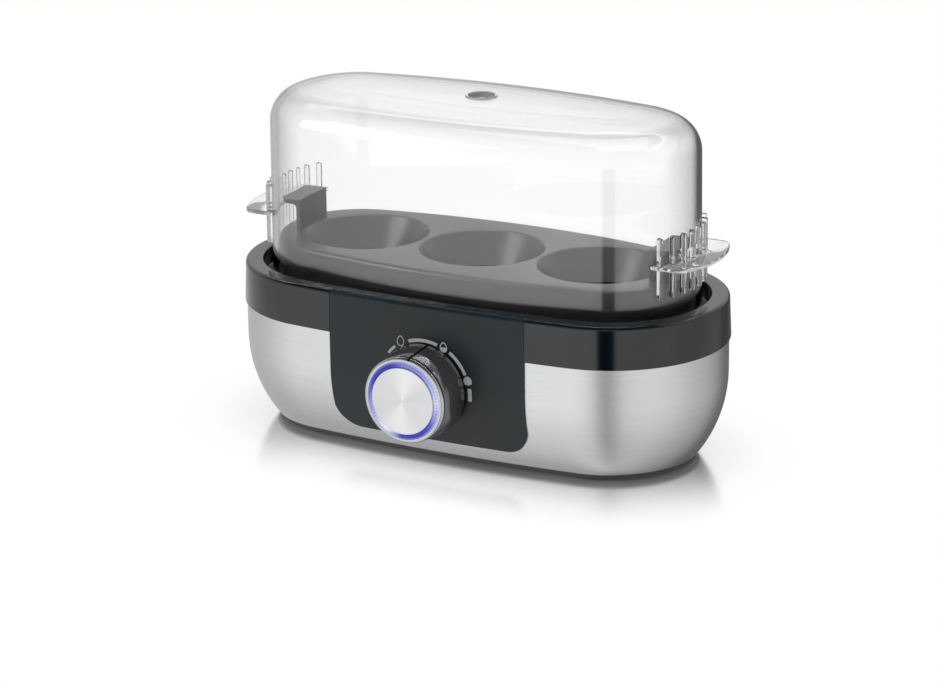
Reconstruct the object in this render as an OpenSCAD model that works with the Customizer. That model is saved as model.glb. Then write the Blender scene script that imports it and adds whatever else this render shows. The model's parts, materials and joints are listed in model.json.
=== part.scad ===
// Egg cooker for three eggs: bowed oval body with a steel bowl, clear hood, egg rack and a lit control knob.
// Millimetres, +Z up, the front faces -Y, the origin is on the table under the middle of the body.

/* [Body] */
// Length of the body over the rim collar
body_len = 190; // [184:1:204]
// Depth of the body over the rim collar
body_w = 91; // [88:0.5:98]
// How far the long sides bow out past the end arcs
side_bow = 2.2; // [1.6:0.1:4]
// Height of the collar's ledge above the table
rim_z = 60.8; // [58:0.2:66]
// Height of the collar's outer band
collar_h = 15.6; // [13:0.2:18]
// Width of the flat ledge on top of the collar
ledge_w = 7.2; // [6:0.1:8.5]
// How far the collar's band leans in over its height
collar_draft = 0.6; // [0.2:0.1:1]
// Rounding along the collar's upper edge
collar_round = 1.4; // [0.8:0.1:2]
// Thickness of the collar's band below the ledge
collar_wall = 5; // [4:0.1:6]
// Depth of the hood's recess below the ledge
recess_h = 6.8; // [5.5:0.1:8]
// Thickness of the shelf that carries rack and hood
shelf_t = 2; // [1.6:0.1:2.6]
// Width of the shelf at the two ends
shelf_end_w = 22.8; // [22:0.2:25]
// Width of the shelf along the long sides
shelf_side_w = 10.3; // [8.5:0.1:12]

/* [Steel bowl] */
// Thickness of the steel sheet
shell_t = 0.6; // [0.4:0.1:0.9]
// Set-back of the steel behind the collar's face
shell_step = 0.75; // [0.5:0.05:1.1]
// Radius of the curve that draws the bowl in
bowl_r = 49; // [44:0.5:58]
// How far the bowl draws in at its foot
bowl_inset = 10.5; // [8:0.1:11.5]
// Height of sheet that is tucked into the collar
shell_tuck = 2; // [1:0.1:3]
// Width of the lip turned in at the bowl's foot
shell_lip = 3.3; // [2.4:0.1:4]

/* [Base] */
// Gap between the base plate and the table
plate_gap = 0.8; // [0.5:0.1:1.5]
// Height of base plate that shows below the steel
plate_drop = 1.2; // [0.8:0.1:2]
// Thickness of the base plate above the steel's lip
plate_t = 0.8; // [0.6:0.1:2]
// Height of the locating rim inside the bowl's lip
plate_rim_h = 4; // [2:0.2:6]
// Thickness of the locating rim
plate_rim_t = 2; // [1.4:0.1:3]
// Radius of a rubber foot
foot_r = 6; // [4:0.5:8]
// Depth of a foot's pocket in the plate
foot_pocket = 0.8; // [0.5:0.1:1]
// Spacing of the feet along the body
foot_pitch_x = 110; // [80:1:116]
// Spacing of the feet across the body
foot_pitch_y = 40; // [30:1:42]
// Radius of a screw boss on the base plate
boss_r = 4.2; // [3.8:0.1:4.6]
// Height above the table where plate bosses and collar posts meet
boss_z = 9; // [7:0.2:14]
// Direction of the screw posts from the middle of an end arc
post_angle = 42; // [36:1:48]
// Radius of a collar post
post_r = 3.6; // [3:0.1:4]

/* [Fasteners] */
// Shank radius of the long base screws
base_screw_r = 1.5; // [1.2:0.05:1.8]
// Shank length of the long base screws
base_screw_l = 14; // [10:0.5:20]
// Shank radius of the small screws
small_screw_r = 1.1; // [0.9:0.05:1.3]
// Height of every screw head
screw_head_h = 1.6; // [1.2:0.1:2]
// Clearance around a screw shank
screw_gap = 0.05; // [0.03:0.01:0.15]

/* [Front panel] */
// Width of the control panel
panel_w = 78.8; // [70:0.2:86]
// Thickness of the control panel
panel_t = 2.75; // [2.2:0.05:3.2]
// Height of the panel's lower edge above the table
panel_z = 8.7; // [7:0.1:10]
// Radius of the panel's lower corners
panel_corner = 10; // [6:0.5:12]
// Width of the seam around the panel
seam = 0.15; // [0.1:0.01:0.3]
// Height of a snap hook on the panel's back
hook_h = 7; // [4:0.5:9]
// How far a snap hook reaches behind the steel
hook_reach = 1.6; // [1:0.1:2.4]

/* [Knob] */
// Height of the knob's axis above the table
knob_z = 30.1; // [29:0.1:31]
// Radius of the knob at the panel
knob_rear_r = 17; // [16.4:0.1:18]
// Radius of the knob at its front
knob_r = 16; // [15.6:0.1:16.4]
// Length of the black sleeve
knob_len = 12.6; // [11.5:0.1:15]
// Gap between the knob and its seat on the panel
knob_gap = 0.4; // [0.3:0.05:0.8]
// How far the knob's seat stands out of the panel
seat_proud = 0.3; // [0.2:0.05:0.6]
// Radius of the knob's seat
seat_r = 15.5; // [14:0.1:16]
// Depth of the chrome ring
chrome_h = 1.8; // [1.4:0.1:2.4]
// Outer radius of the glowing ring
light_r = 14.2; // [13.8:0.1:14.6]
// Width of the glowing ring
light_w = 1.5; // [1.2:0.1:1.9]
// Thickness of the web behind the glowing ring
web_t = 2; // [1.4:0.1:3]
// Width of the pointer groove
pointer_w = 1.1; // [1:0.1:2.4]
// Depth of the pointer groove
pointer_d = 0.8; // [0.5:0.1:1.2]
// Where the pointer stands at rest, clockwise from the top
pointer_at = 8; // [-40:1:85]
// Radius of the knob's hollow shaft
shaft_r = 3; // [2.6:0.1:3.2]
// Running clearance of turning and sliding pieces
run_gap = 0.05; // [0.03:0.01:0.1]
// Thickness of the face disc
disc_t = 1; // [0.8:0.1:1.4]
// How far the face disc stands out of the glowing ring
disc_proud = 0.6; // [0.3:0.1:1]
// Gap around the face disc
disc_gap = 0.3; // [0.2:0.05:0.5]
// Travel of the face disc when pressed
press = 1.2; // [0.8:0.1:1.4]
// Radius of the push rod
rod_r = 1.45; // [1.2:0.05:1.6]

/* [Hood] */
// Gap between hood and recess at the ends
lid_end_gap = 3.4; // [2:0.1:4.5]
// Gap between hood and recess along the sides
lid_side_gap = 1.1; // [0.8:0.1:1.6]
// How far the hood's long sides bow out
lid_bow = 5; // [3:0.1:7]
// Wall thickness of the hood
lid_t = 1.8; // [1.4:0.1:2.2]
// Height of the hood's wall below its rounded top
lid_wall_h = 58.8; // [50:0.2:66]
// How far the wall leans in over its height
lid_draft = 0.45; // [0.2:0.05:1.2]
// Radius of the rounded top edge
lid_round = 12.2; // [9:0.1:13]
// Radius of the flatter crown
lid_crown_r = 46; // [40:0.5:50]
// Angle at which the rounding passes into the crown
lid_turn = 71; // [68:0.5:76]
// Radius of the steam hole
vent_r = 4.8; // [3:0.1:6]
// Height of the raised ring around the steam hole
vent_ring_h = 0.5; // [0.3:0.1:1]
// Width of the raised ring around the steam hole
vent_ring_w = 1.1; // [1:0.1:2.5]
// Height of the grip tabs above the hood's foot
tab_h = 23.4; // [18:0.2:30]
// Thickness of a grip tab
tab_t = 1.5; // [1.2:0.1:2.4]
// Reach of a grip tab beyond the hood's end
tab_reach = 9.6; // [7:0.1:11]
// Width of a grip tab
tab_w = 40.6; // [34:0.2:46]
// Radius of a grip tab's corners
tab_corner = 5; // [2:0.5:6]
// Number of ribs at each end
rib_count = 8; // [4:1:10]
// Angle between two ribs
rib_step = 9.5; // [8:0.5:10]
// Width of a rib
rib_w = 1.9; // [1.4:0.1:2.4]
// How far a rib stands off the wall
rib_out = 1.8; // [1.2:0.1:2.4]
// Height of a rib
rib_h = 22.3; // [16:0.1:28]
// Height of the ribs' lower ends above the hood's foot
rib_low = 12.4; // [10:0.1:16]

/* [Egg rack] */
// Height of the rack's top above the shelf
rack_h = 16.5; // [14:0.1:19]
// Height of the band round the rack
rack_band_h = 8; // [6:0.1:9]
// Wall thickness of the rack
rack_t = 1.8; // [1.4:0.1:2.2]
// Gap between rack and hood
rack_gap = 0.8; // [0.5:0.05:1.2]
// Step between the band and the wall that stands on the shelf
rack_step = 2.2; // [1.6:0.1:3]
// Rounding along the rack's top edge
rack_round = 1.6; // [0.8:0.1:1.6]
// Material left between two egg seats
egg_wall = 2.8; // [2.4:0.1:4]
// Radius of an egg seat at its lower opening
cup_low_r = 16.5; // [14:0.1:18]
// Depth of an egg seat
cup_h = 12; // [9:0.2:14]
// Wall thickness of an egg seat
cup_t = 1.2; // [0.9:0.05:1.2]
// Height of a handle above the rack's top
handle_h = 11.5; // [8:0.1:16]
// Width of a handle
handle_w = 20; // [14:0.2:22]
// Thickness of a handle
handle_t = 1.9; // [1.4:0.1:2.4]
// How far a handle's flange reaches out
handle_reach = 7.2; // [5:0.1:7.6]
// Gap between a handle's flange and the hood
handle_gap = 2.1; // [1.5:0.1:4]
// Corner radius of a handle
handle_corner = 3; // [2:0.1:4]
// Gap under the rack and the hood on the shelf
seat_gap = 0.2; // [0.1:0.05:0.3]

/* [Heater] */
// Sheet thickness of the heating pan
pan_t = 0.8; // [0.6:0.1:1.2]
// Depth of the heating pan
pan_depth = 7.2; // [6:0.1:9]
// Width of the pan's flange
pan_flange = 4; // [3:0.1:4.5]
// Rounding at the bottom of the pan
pan_round = 3; // [2:0.1:4]
// Thickness of the pan's gasket
gasket_t = 0.8; // [0.5:0.1:1.2]
// Thickness of the heat spreader
spreader_t = 1.5; // [1:0.1:2]
// Inset of the heat spreader from the pan's wall
spreader_in = 5; // [4:0.2:7]
// Radius of the heating element's tube
tube_r = 3.25; // [2.8:0.05:3.5]
// Length of the heating element over its centre line
loop_len = 100; // [90:1:104]
// Width of the heating element over its centre line
loop_w = 34; // [30:0.5:36]
// Opening in the element between its two ends
loop_gap = 16; // [12:0.5:20]
// Length of a connecting pin on the element
pin_l = 8; // [6:0.2:10]
// Radius of the thermostat
stat_r = 8; // [7:0.1:8.5]
// Height of the thermostat
stat_h = 8; // [6:0.1:9]

/* [Electronics] */
// Depth of the potentiometer between panel and board
pot_depth = 6; // [5.5:0.1:7]
// Side of the potentiometer's square body
pot_side = 16; // [14:0.2:16.4]
// Wall of the threaded bush round the shaft
bush_wall = 1.4; // [1.1:0.1:1.6]
// Width of the circuit board
board_w = 62; // [58:0.5:66]
// Height of the circuit board
board_h = 28.5; // [28:0.5:29.5]
// Thickness of the circuit board
board_t = 1.6; // [1:0.1:2]
// Radius of the circle that the lamps sit on
led_ring_r = 10; // [9.8:0.1:10.6]
// Radius of a lamp and of its light pipe
led_r = 1.5; // [1.2:0.05:1.6]
// Radius of a lead
lead_r = 1.1; // [0.8:0.05:1.2]
// Bore radius of the cord gland
gland_bore = 3.4; // [2.8:0.1:3.8]
// Outer radius of the cord gland's barrel
gland_r = 5; // [4.6:0.1:5.6]
// Height of the cord gland above the table
gland_z = 16; // [14:0.2:18]

/* [Hidden] */
$fn = 128;
// Overlap of pieces that are fused, and overshoot of cuts
fuse = 0.5;
// Clearance between fixed pieces
fit = 0.1;
// Radius left open round the centre of an end arc, which the core fills
hub = 4;
// Angle by which a long side's arc laps into the end arcs
lap = 0.0001;

// Ovals with bowed sides, each [half length, half width, half the angle of an end arc]
body = bowed_oval(body_len / 2, body_w / 2, side_bow);
pan_hole = bowed_oval(body[0] - ledge_w - shelf_end_w, body[1] - ledge_w - shelf_side_w, side_bow);
lid_oval = bowed_oval(body[0] - ledge_w - lid_end_gap, body[1] - ledge_w - lid_side_gap, lid_bow);
loop_bow = 1.2;
loop = bowed_oval(loop_len / 2, loop_w / 2, loop_bow);

// Heights
collar_z = rim_z - collar_h;
shelf_z = rim_z - recess_h;
shelf_low = shelf_z - shelf_t;
shell_z = plate_gap + plate_drop;
bowl_top_z = shell_z + sqrt(pow(bowl_r, 2) - pow(bowl_r - bowl_inset, 2));
flange_z = shelf_low - gasket_t - pan_t;
pan_low = shelf_low - gasket_t - pan_depth;
spreader_low = pan_low - spreader_t;
tube_gap = 0.2;
tube_z = spreader_low - tube_gap - tube_r;

// The bowl's curve is an arc about this point of its profile
bowl_reach = shell_step + bowl_r;
foot_in = shell_step + bowl_inset;
plate_in = foot_in + 0.6;
plate_rim_in = foot_in + shell_lip + 0.3;

// Screw posts stand on a circle about the end arcs' centres
post_in = plate_rim_in + boss_r;
post_x = end_x(body) + (end_r(body) - post_in) * cos(post_angle);
post_y = (end_r(body) - post_in) * sin(post_angle);
base_head_r = 1.85 * base_screw_r;
small_head_r = 2 * small_screw_r;
head_seat_z = plate_gap + 3.2;

// Depths behind the front face
front_y = -body[1];
board_y = front_y + panel_t + pot_depth;
board_back = board_y + board_t;
board_z = knob_z - 16;
board_screw_in = 4;

// Knob, measured forwards from the panel's face
sleeve_z = seat_proud + knob_gap;
chrome_z = sleeve_z + knob_len;
light_z = chrome_z + chrome_h + 0.2;
disc_z = light_z + disc_proud;
disc_r = light_r - light_w - disc_gap;
nut_t = 1.8;
bush_z = seat_proud + nut_t + 0.4;
bush_r = shaft_r + bush_wall;
web_z = bush_z + 0.4;
hub_r = shaft_r + 2.5;
hub_z = disc_z - disc_t - 1.2 - press - 0.5;
switch_h = 1.6;
switch_side = 6;
cavity_r = 4.6;
cavity_z = -panel_t - 1.8;
rod_end = -panel_t - pot_depth + switch_h + press + 0.15;

// Hood
lid_z = shelf_z + seat_gap;
lid_wall_z = lid_z + lid_wall_h;
lid_c1 = [-lid_draft - lid_round, lid_wall_z];
lid_c2 = lid_c1 - (lid_crown_r - lid_round) * [cos(lid_turn), sin(lid_turn)];
lid_top_z = lid_c2[1] + lid_crown_r;
lid_flat_in = -lid_c2[0];
tab_z = lid_z + tab_h;

// Egg rack
rack_in = lid_t + rack_gap;
rack_z = shelf_z + seat_gap;
rack_top = shelf_z + rack_h;
handle_x = lid_oval[0] - lid_t - handle_gap - handle_reach - handle_t;
handle_in = 0.8;
egg_pitch = (handle_x - handle_in + egg_wall / 2) / 1.5;
cup_r = (egg_pitch - egg_wall) / 2;
handle_top = rack_top + handle_h;

// Pan clips and the parts under the pan
clip_x = 30;
clip_w = 10;
clip_t = 1.2;
clip_y = pan_hole[1] + pan_flange + 4.5;
stat_flange_t = 1.5;
stat_flange_r = stat_r + 0.8;
stat_tab_x = 4;
stat_tab_l = 4.8;
bracket_t = 1;
bracket_x = stat_r + 6.5;
bracket_w = 10;
bracket_z = spreader_low - stat_flange_t - bracket_t;
fuse_x = -30;
fuse_r = 2.2;
fuse_l = 12;
fuse_z = spreader_low - 0.3 - fuse_r;
saddle_x = 30;
saddle_w = 6;
pin_r = 1.5;
pin_x = loop_gap / 2 + 3;
tag_x = 38;
tag_t = 0.8;
tag_l = 5;

// Terminal block
block_len = 28;
block_d = 10;
block_h = 10;
block_y = 17;
block_z = shell_z + plate_t;
block_pitch = 8;
lead_z = block_z + block_h / 2;

// Board and its parts
boss_x = board_w / 2 - board_screw_in;
boss_low = board_z + board_screw_in;
boss_high = board_z + board_h - board_screw_in;
panel_boss_r = 2.6;
part_edge = boss_x - small_head_r - 1;
relay_box = [18, 10, 12];
coil_box = [18, 12, 14];
buzzer_r = 6;
buzzer_h = 6;
live_end = [-board_w / 2 + 2, board_back, board_z + 10];
heater_end = [board_w / 2 - 2, board_back, board_z + 20];

// Cord gland, square to the bowl at its height
gland_tilt = asin((bowl_top_z - gland_z) / bowl_r);
gland_y = body[1] - bowl_reach + bowl_r * cos(gland_tilt);
gland_flange_r = gland_r + 2.2;
gland_nut_r = gland_r + 2;
gland_sag = pow(gland_nut_r, 2) / (2 * (bowl_r - shell_t));

// The angle is kept to hundredths of a degree, and the arcs follow from it
function bowed_oval(a, b, bow) =
    let (x = a - b + bow)
    let (r = (pow(x, 2) + pow(b, 2) - pow(b - bow, 2)) / (2 * bow))
    [a, b, round(100 * atan2(r - b, x)) / 100];
function end_r(o) =
    let (q = (1 - sin(o[2])) / cos(o[2]))
    (o[1] - o[0] * q) / (1 - q);
function end_x(o) = o[0] - end_r(o);
function side_r(o) = end_r(o) + end_x(o) / cos(o[2]);

// How far an oval's long side lies behind its middle
function side_drop(o, x) = side_r(o) - sqrt(pow(side_r(o), 2) - pow(x, 2));

// How far the panel's face has drawn in at a height
function drawn_in(z) =
    let (below = max(bowl_top_z - z, 0))
    bowl_reach - sqrt(pow(bowl_reach, 2) - pow(below, 2));

// Moves children by a round distance and then by the small rest, so that long arcs meet true
module shift(v) {
    whole = [for (c = v) round(100 * c) / 100];
    translate(whole)
        translate(v - whole)
            children();
}

// A profile drawn as [distance outside the oval, height], carried along the front side
module front_arc(o) {
    shift([0, side_r(o) - o[1], 0])
        rotate_extrude(angle = 180 - 2 * o[2] + 2 * lap, start = o[2] - 180 - lap, $fn = 720)
            shift([side_r(o), 0, 0])
                children();
}

// The same profile carried all the way round
module swept(o) {
    for (k = [0, 180])
        rotate([0, 0, k]) {
            front_arc(o)
                children();
            shift([end_x(o), 0, 0])
                rotate_extrude(angle = 2 * o[2], start = -o[2])
                    shift([end_r(o), 0, 0])
                        children();
        }
}

// Block that fills the middle left open by a swept profile
module core(o, low, high) {
    x = end_x(o) + hub + fuse;
    y = o[1] - end_r(o) + hub + fuse;
    translate([-x, -y, low])
        cube([2 * x, 2 * y, high - low]);
}

// A filled oval plate, inset by d
module slab(o, d, low, high) {
    inner = end_r(o) - hub;
    swept(o)
        translate([-inner, low])
            square([inner - d, high - low]);
    core(o, low, high);
}

// A quarter disc that rounds an outer upper edge
module quarter(r) {
    intersection() {
        circle(r);
        square(r);
    }
}

// Profile between two distances from the bowl's face, straight above and curved below
module bowl_band(outer, inner, low, high) {
    shift([-bowl_reach, bowl_top_z, 0]) {
        translate([bowl_reach + inner, 0])
            square([outer - inner, high - bowl_top_z]);
        intersection() {
            difference() {
                circle(bowl_reach + outer, $fn = 360);
                circle(bowl_reach + inner, $fn = 360);
            }
            translate([0, low - bowl_top_z])
                square([2 * bowl_reach, bowl_top_z - low]);
        }
    }
}

// Profile of the upper band, shared by collar and panel
module rim_band(depth, low) {
    polygon([
        [0, low],
        [-collar_draft, rim_z - collar_round],
        [-collar_draft - collar_round, rim_z],
        [-depth, rim_z],
        [-depth, low]
    ]);
    translate([-collar_draft - collar_round, rim_z - collar_round])
        quarter(collar_round);
}

// The panel's outline as a prism through the front
module panel_prism(gap) {
    half = panel_w / 2 + gap;
    low = panel_z - gap;
    r = panel_corner + gap;
    rotate([90, 0, 0])
        linear_extrude(body_w) {
            translate([-half, low + r])
                square([2 * half, rim_z - low]);
            translate([-half + r, low])
                square([2 * (half - r), rim_z - low]);
            for (k = [-1, 1])
                translate([k * (half - r), low + r])
                    circle(r);
        }
}

// Puts children on the knob's axis, with their z axis pointing forwards
module on_knob() {
    translate([0, front_y, knob_z])
        rotate([90, 0, 0])
            children();
}

// Repeats children in the four quarters
module quarters(x, y) {
    for (i = [-1, 1])
        for (j = [-1, 1])
            translate([i * x, j * y, 0])
                children();
}

// Four feet near the corners and one under the middle
module foot_places() {
    children();
    quarters(foot_pitch_x / 2, foot_pitch_y / 2)
        children();
}

// A screw with its head below z = 0 and its shank upwards
module screw(shank_r, shank_l, head_r) {
    slot_w = head_r / 4;
    difference() {
        union() {
            translate([0, 0, -screw_head_h])
                cylinder(screw_head_h, head_r, head_r);
            translate([0, 0, -fuse])
                cylinder(shank_l + fuse, shank_r, shank_r);
        }
        translate([-head_r, -slot_w / 2, -screw_head_h - fuse])
            cube([2 * head_r, slot_w, fuse + screw_head_h / 3]);
    }
}

// Four places round the knob's axis
module led_places() {
    for (k = [0:90:270])
        rotate([0, 0, k])
            translate([led_ring_r, 0, 0])
                children();
}

// The four screw places of the circuit board, with z pointing forwards from the board's back
module board_places() {
    for (x = [-boss_x, boss_x])
        for (z = [boss_low, boss_high])
            translate([x, board_back, z])
                rotate([90, 0, 0])
                    children();
}

// The cord gland's place on the back of the bowl, with z pointing outwards
module at_gland() {
    translate([0, gland_y, gland_z])
        rotate([-90 - gland_tilt, 0, 0])
            children();
}

module base_plate() {
    color("#141516")
        difference() {
            union() {
                slab(body, plate_in, plate_gap, shell_z);
                slab(body, plate_rim_in, shell_z - fuse, shell_z + plate_t);
                swept(body)
                    translate([-plate_rim_in - plate_rim_t, shell_z])
                        square([plate_rim_t, plate_rim_h]);
                quarters(post_x, post_y)
                    translate([0, 0, shell_z])
                        cylinder(boss_z - shell_z, boss_r, boss_r);
            }
            quarters(post_x, post_y) {
                cylinder(boss_z + fuse, base_screw_r + 0.2, base_screw_r + 0.2);
                cylinder(head_seat_z, base_head_r + 0.2, base_head_r + 0.2);
            }
            foot_places()
                cylinder(plate_gap + foot_pocket, foot_r + fit, foot_r + fit);
        }
}

module rubber_feet() {
    color("#2b2b2b")
        foot_places()
            cylinder(plate_gap + foot_pocket, foot_r, foot_r);
}

module base_screws() {
    color("silver")
        quarters(post_x, post_y)
            translate([0, 0, head_seat_z])
                screw(base_screw_r, base_screw_l, base_head_r);
}

module steel_shell() {
    color("#b9bcbe")
        difference() {
            swept(body) {
                bowl_band(-shell_step, -shell_step - shell_t, shell_z, collar_z + shell_tuck);
                translate([-foot_in - shell_lip, shell_z])
                    square([shell_lip, shell_t]);
            }
            panel_prism(seam);
            at_gland()
                cylinder(2 * gland_r, gland_r + fit, gland_r + fit, center = true);
        }
}

module rim_collar() {
    color("#2a2c2e")
        difference() {
            union() {
                swept(body)
                    difference() {
                        union() {
                            rim_band(ledge_w, shelf_low);
                            translate([-collar_wall, collar_z])
                                square([collar_wall, shelf_low - collar_z + fuse]);
                        }
                        translate([-shell_step - shell_t - fit, collar_z - fuse])
                            square([shell_t + 2 * fit, shell_tuck + fuse]);
                    }
                difference() {
                    slab(body, ledge_w - fuse, shelf_low, shelf_z);
                    slab(pan_hole, 0, shelf_low - fuse, shelf_z + fuse);
                }
                quarters(post_x, post_y)
                    translate([0, 0, boss_z])
                        cylinder(shelf_low - boss_z + fuse, post_r, post_r);
            }
            quarters(post_x, post_y)
                translate([0, 0, boss_z - fuse])
                    cylinder(base_screw_l + fuse, base_screw_r + screw_gap, base_screw_r + screw_gap);
            quarters(clip_x, clip_y)
                translate([0, 0, shelf_low - fuse])
                    cylinder(fuse + shelf_t - 0.4, small_screw_r + screw_gap, small_screw_r + screw_gap);
            intersection() {
                panel_prism(seam);
                front_arc(body)
                    translate([-panel_t - seam, collar_z - fuse])
                        square([panel_t + seam + fuse, collar_h + 2 * fuse]);
            }
        }
}

module front_panel() {
    hook_z = collar_z - hook_h - 2;
    hook_t = panel_t - shell_step - shell_t - fit;
    pocket = pot_side + 2 * fit;
    color("#303234")
        difference() {
            union() {
                intersection() {
                    front_arc(body) {
                        rim_band(panel_t, collar_z - fuse);
                        bowl_band(0, -panel_t, panel_z - fuse, collar_z);
                    }
                    panel_prism(0);
                }
                intersection() {
                    front_arc(body)
                        translate([-panel_t, hook_z])
                            square([hook_t, hook_h]);
                    translate([-panel_w / 2 - hook_reach, -body_w, hook_z - fuse])
                        cube([panel_w + 2 * hook_reach, body_w, hook_h + 2 * fuse]);
                }
                intersection() {
                    on_knob()
                        translate([0, 0, -2 * panel_t])
                            cylinder(seat_proud + 2 * panel_t, seat_r, seat_r);
                    front_arc(body)
                        bowl_band(bowl_r / 8, -panel_t / 2, panel_z, rim_z);
                }
                for (x = [-boss_x, boss_x])
                    for (z = [boss_low, boss_high])
                        panel_boss(x, z);
            }
            board_places()
                translate([0, 0, -fuse])
                    cylinder(board_t + 4.5 + fuse, small_screw_r + screw_gap, small_screw_r + screw_gap);
            on_knob() {
                translate([0, 0, -panel_t - fuse])
                    cylinder(panel_t + seat_proud + 2 * fuse, bush_r + fit, bush_r + fit);
                led_places()
                    translate([0, 0, -3 * panel_t])
                        cylinder(3 * panel_t + seat_proud + fuse, led_r, led_r);
                translate([-pocket / 2, -pocket / 2, -3 * panel_t])
                    cube([pocket, pocket, 2 * panel_t]);
            }
        }
}

// A post from the panel's back to the circuit board
module panel_boss(x, z) {
    start = front_y + side_drop(body, x) + drawn_in(z) + panel_t / 2;
    translate([x, board_y, z])
        rotate([90, 0, 0])
            cylinder(board_y - start, panel_boss_r, panel_boss_r);
}

module pan_gasket() {
    color("#8d3b2b")
        swept(pan_hole)
            translate([fit, shelf_low - gasket_t])
                square([pan_flange - fit, gasket_t]);
}

module heating_pan() {
    color("#9ea2a5") {
        swept(pan_hole) {
            translate([-pan_t, flange_z])
                square([pan_flange + pan_t, pan_t]);
            translate([-pan_t, pan_low + pan_round])
                square([pan_t, flange_z + pan_t - pan_low - pan_round]);
            translate([-pan_round, pan_low + pan_round])
                intersection() {
                    difference() {
                        circle(pan_round);
                        circle(pan_round - pan_t);
                    }
                    translate([0, -pan_round])
                        square(pan_round);
                }
            translate([hub - end_r(pan_hole), pan_low])
                square([end_r(pan_hole) - hub - pan_round, pan_t]);
        }
        core(pan_hole, pan_low, pan_low + pan_t);
    }
}

// A straight screw hole
module hole(length, r) {
    cylinder(length, r, r);
}

module pan_clips() {
    inner = pan_hole[1] + 1;
    step = pan_hole[1] + pan_flange + 0.6;
    outer = clip_y + 2.6;
    color("silver")
        difference() {
            for (k = [-1, 1])
                for (side = [0, 180])
                    rotate([0, 0, side]) {
                        translate([k * clip_x - clip_w / 2, inner, flange_z - clip_t])
                            cube([clip_w, outer - inner, clip_t]);
                        translate([k * clip_x - clip_w / 2, step, flange_z - fuse])
                            cube([clip_w, outer - step, shelf_low - flange_z + fuse]);
                    }
            quarters(clip_x, clip_y)
                translate([0, 0, flange_z - clip_t - fuse])
                    hole(shelf_low - flange_z + clip_t + 2 * fuse, small_screw_r + fit);
        }
}

module clip_screws() {
    color("silver")
        quarters(clip_x, clip_y)
            translate([0, 0, flange_z - clip_t])
                screw(small_screw_r, shelf_low - flange_z + clip_t + shelf_t - 0.6, small_head_r);
}

module heat_spreader() {
    color("#c9ccce")
        difference() {
            slab(pan_hole, spreader_in, spreader_low, pan_low);
            for (k = [-1, 1])
                translate([k * bracket_x, 0, spreader_low - fuse])
                    hole(spreader_t + fuse - 0.2, small_screw_r + screw_gap);
        }
}

module heating_element() {
    color("#6f6f70") {
        difference() {
            swept(loop)
                translate([0, tube_z])
                    circle(tube_r);
            translate([-loop_gap / 2, 0, tube_z - 2 * tube_r])
                cube([loop_gap, loop_w, 4 * tube_r]);
        }
        for (k = [-1, 1])
            translate([k * pin_x, loop[1], tube_z - pin_l])
                cylinder(pin_l, pin_r, pin_r);
    }
}

module element_saddles() {
    low = tube_z - tube_r - 1.4;
    half = tube_r + 2;
    color("#c9ccce")
        difference() {
            quarters(saddle_x, loop[1] - side_drop(loop, saddle_x))
                translate([-saddle_w / 2, -half, low])
                    cube([saddle_w, 2 * half, spreader_low - low]);
            swept(loop)
                translate([0, tube_z])
                    circle(tube_r + 0.02);
        }
}

module thermostat() {
    color("#3a3a3c") {
        translate([0, 0, spreader_low - stat_h])
            cylinder(stat_h, stat_r, stat_r);
        translate([0, 0, spreader_low - stat_flange_t])
            cylinder(stat_flange_t, stat_flange_r, stat_flange_r);
        for (k = [-1, 1])
            translate([k * stat_tab_x - 0.4, -2, spreader_low - stat_h - stat_tab_l])
                cube([0.8, 4, stat_tab_l + fuse]);
    }
}

module thermostat_bracket() {
    ear = bracket_x + 3.5;
    color("silver")
        difference() {
            union() {
                translate([0, 0, bracket_z])
                    cylinder(bracket_t, stat_r + 3, stat_r + 3);
                translate([-ear, -bracket_w / 2, bracket_z])
                    cube([2 * ear, bracket_w, bracket_t]);
                for (k = [0, 180])
                    rotate([0, 0, k])
                        translate([bracket_x - 3, -bracket_w / 2, bracket_z])
                            cube([6.5, bracket_w, spreader_low - bracket_z]);
            }
            translate([0, 0, bracket_z - fuse])
                cylinder(bracket_t + 2 * fuse, stat_r + fit, stat_r + fit);
            for (k = [-1, 1])
                translate([k * bracket_x, 0, bracket_z - fuse])
                    hole(spreader_low - bracket_z + 2 * fuse, small_screw_r + fit);
        }
}

module bracket_screws() {
    color("silver")
        for (k = [-1, 1])
            translate([k * bracket_x, 0, bracket_z])
                screw(small_screw_r, spreader_low - bracket_z + spreader_t - 0.5, small_head_r);
}

module thermal_fuse() {
    color("#c8c2ad")
        translate([fuse_x - fuse_l / 2, 0, fuse_z])
            rotate([0, 90, 0])
                cylinder(fuse_l, fuse_r, fuse_r);
}

module fuse_clip() {
    low = fuse_z - fuse_r - 0.8;
    color("silver")
        difference() {
            translate([fuse_x - 2.5, -fuse_r - 1.6, low])
                cube([5, 2 * fuse_r + 3.2, spreader_low - low]);
            translate([fuse_x - fuse_l / 2, 0, fuse_z])
                rotate([0, 90, 0])
                    cylinder(fuse_l, fuse_r + 0.02, fuse_r + 0.02);
        }
}

module circuit_board() {
    color("#2f5d3a")
        difference() {
            translate([-board_w / 2, board_y, board_z])
                cube([board_w, board_t, board_h]);
            board_places()
                translate([0, 0, -fuse])
                    hole(board_t + 2 * fuse, small_screw_r + fit);
        }
}

module board_screws() {
    color("silver")
        board_places()
            screw(small_screw_r, board_t + 4, small_head_r);
}

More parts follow.
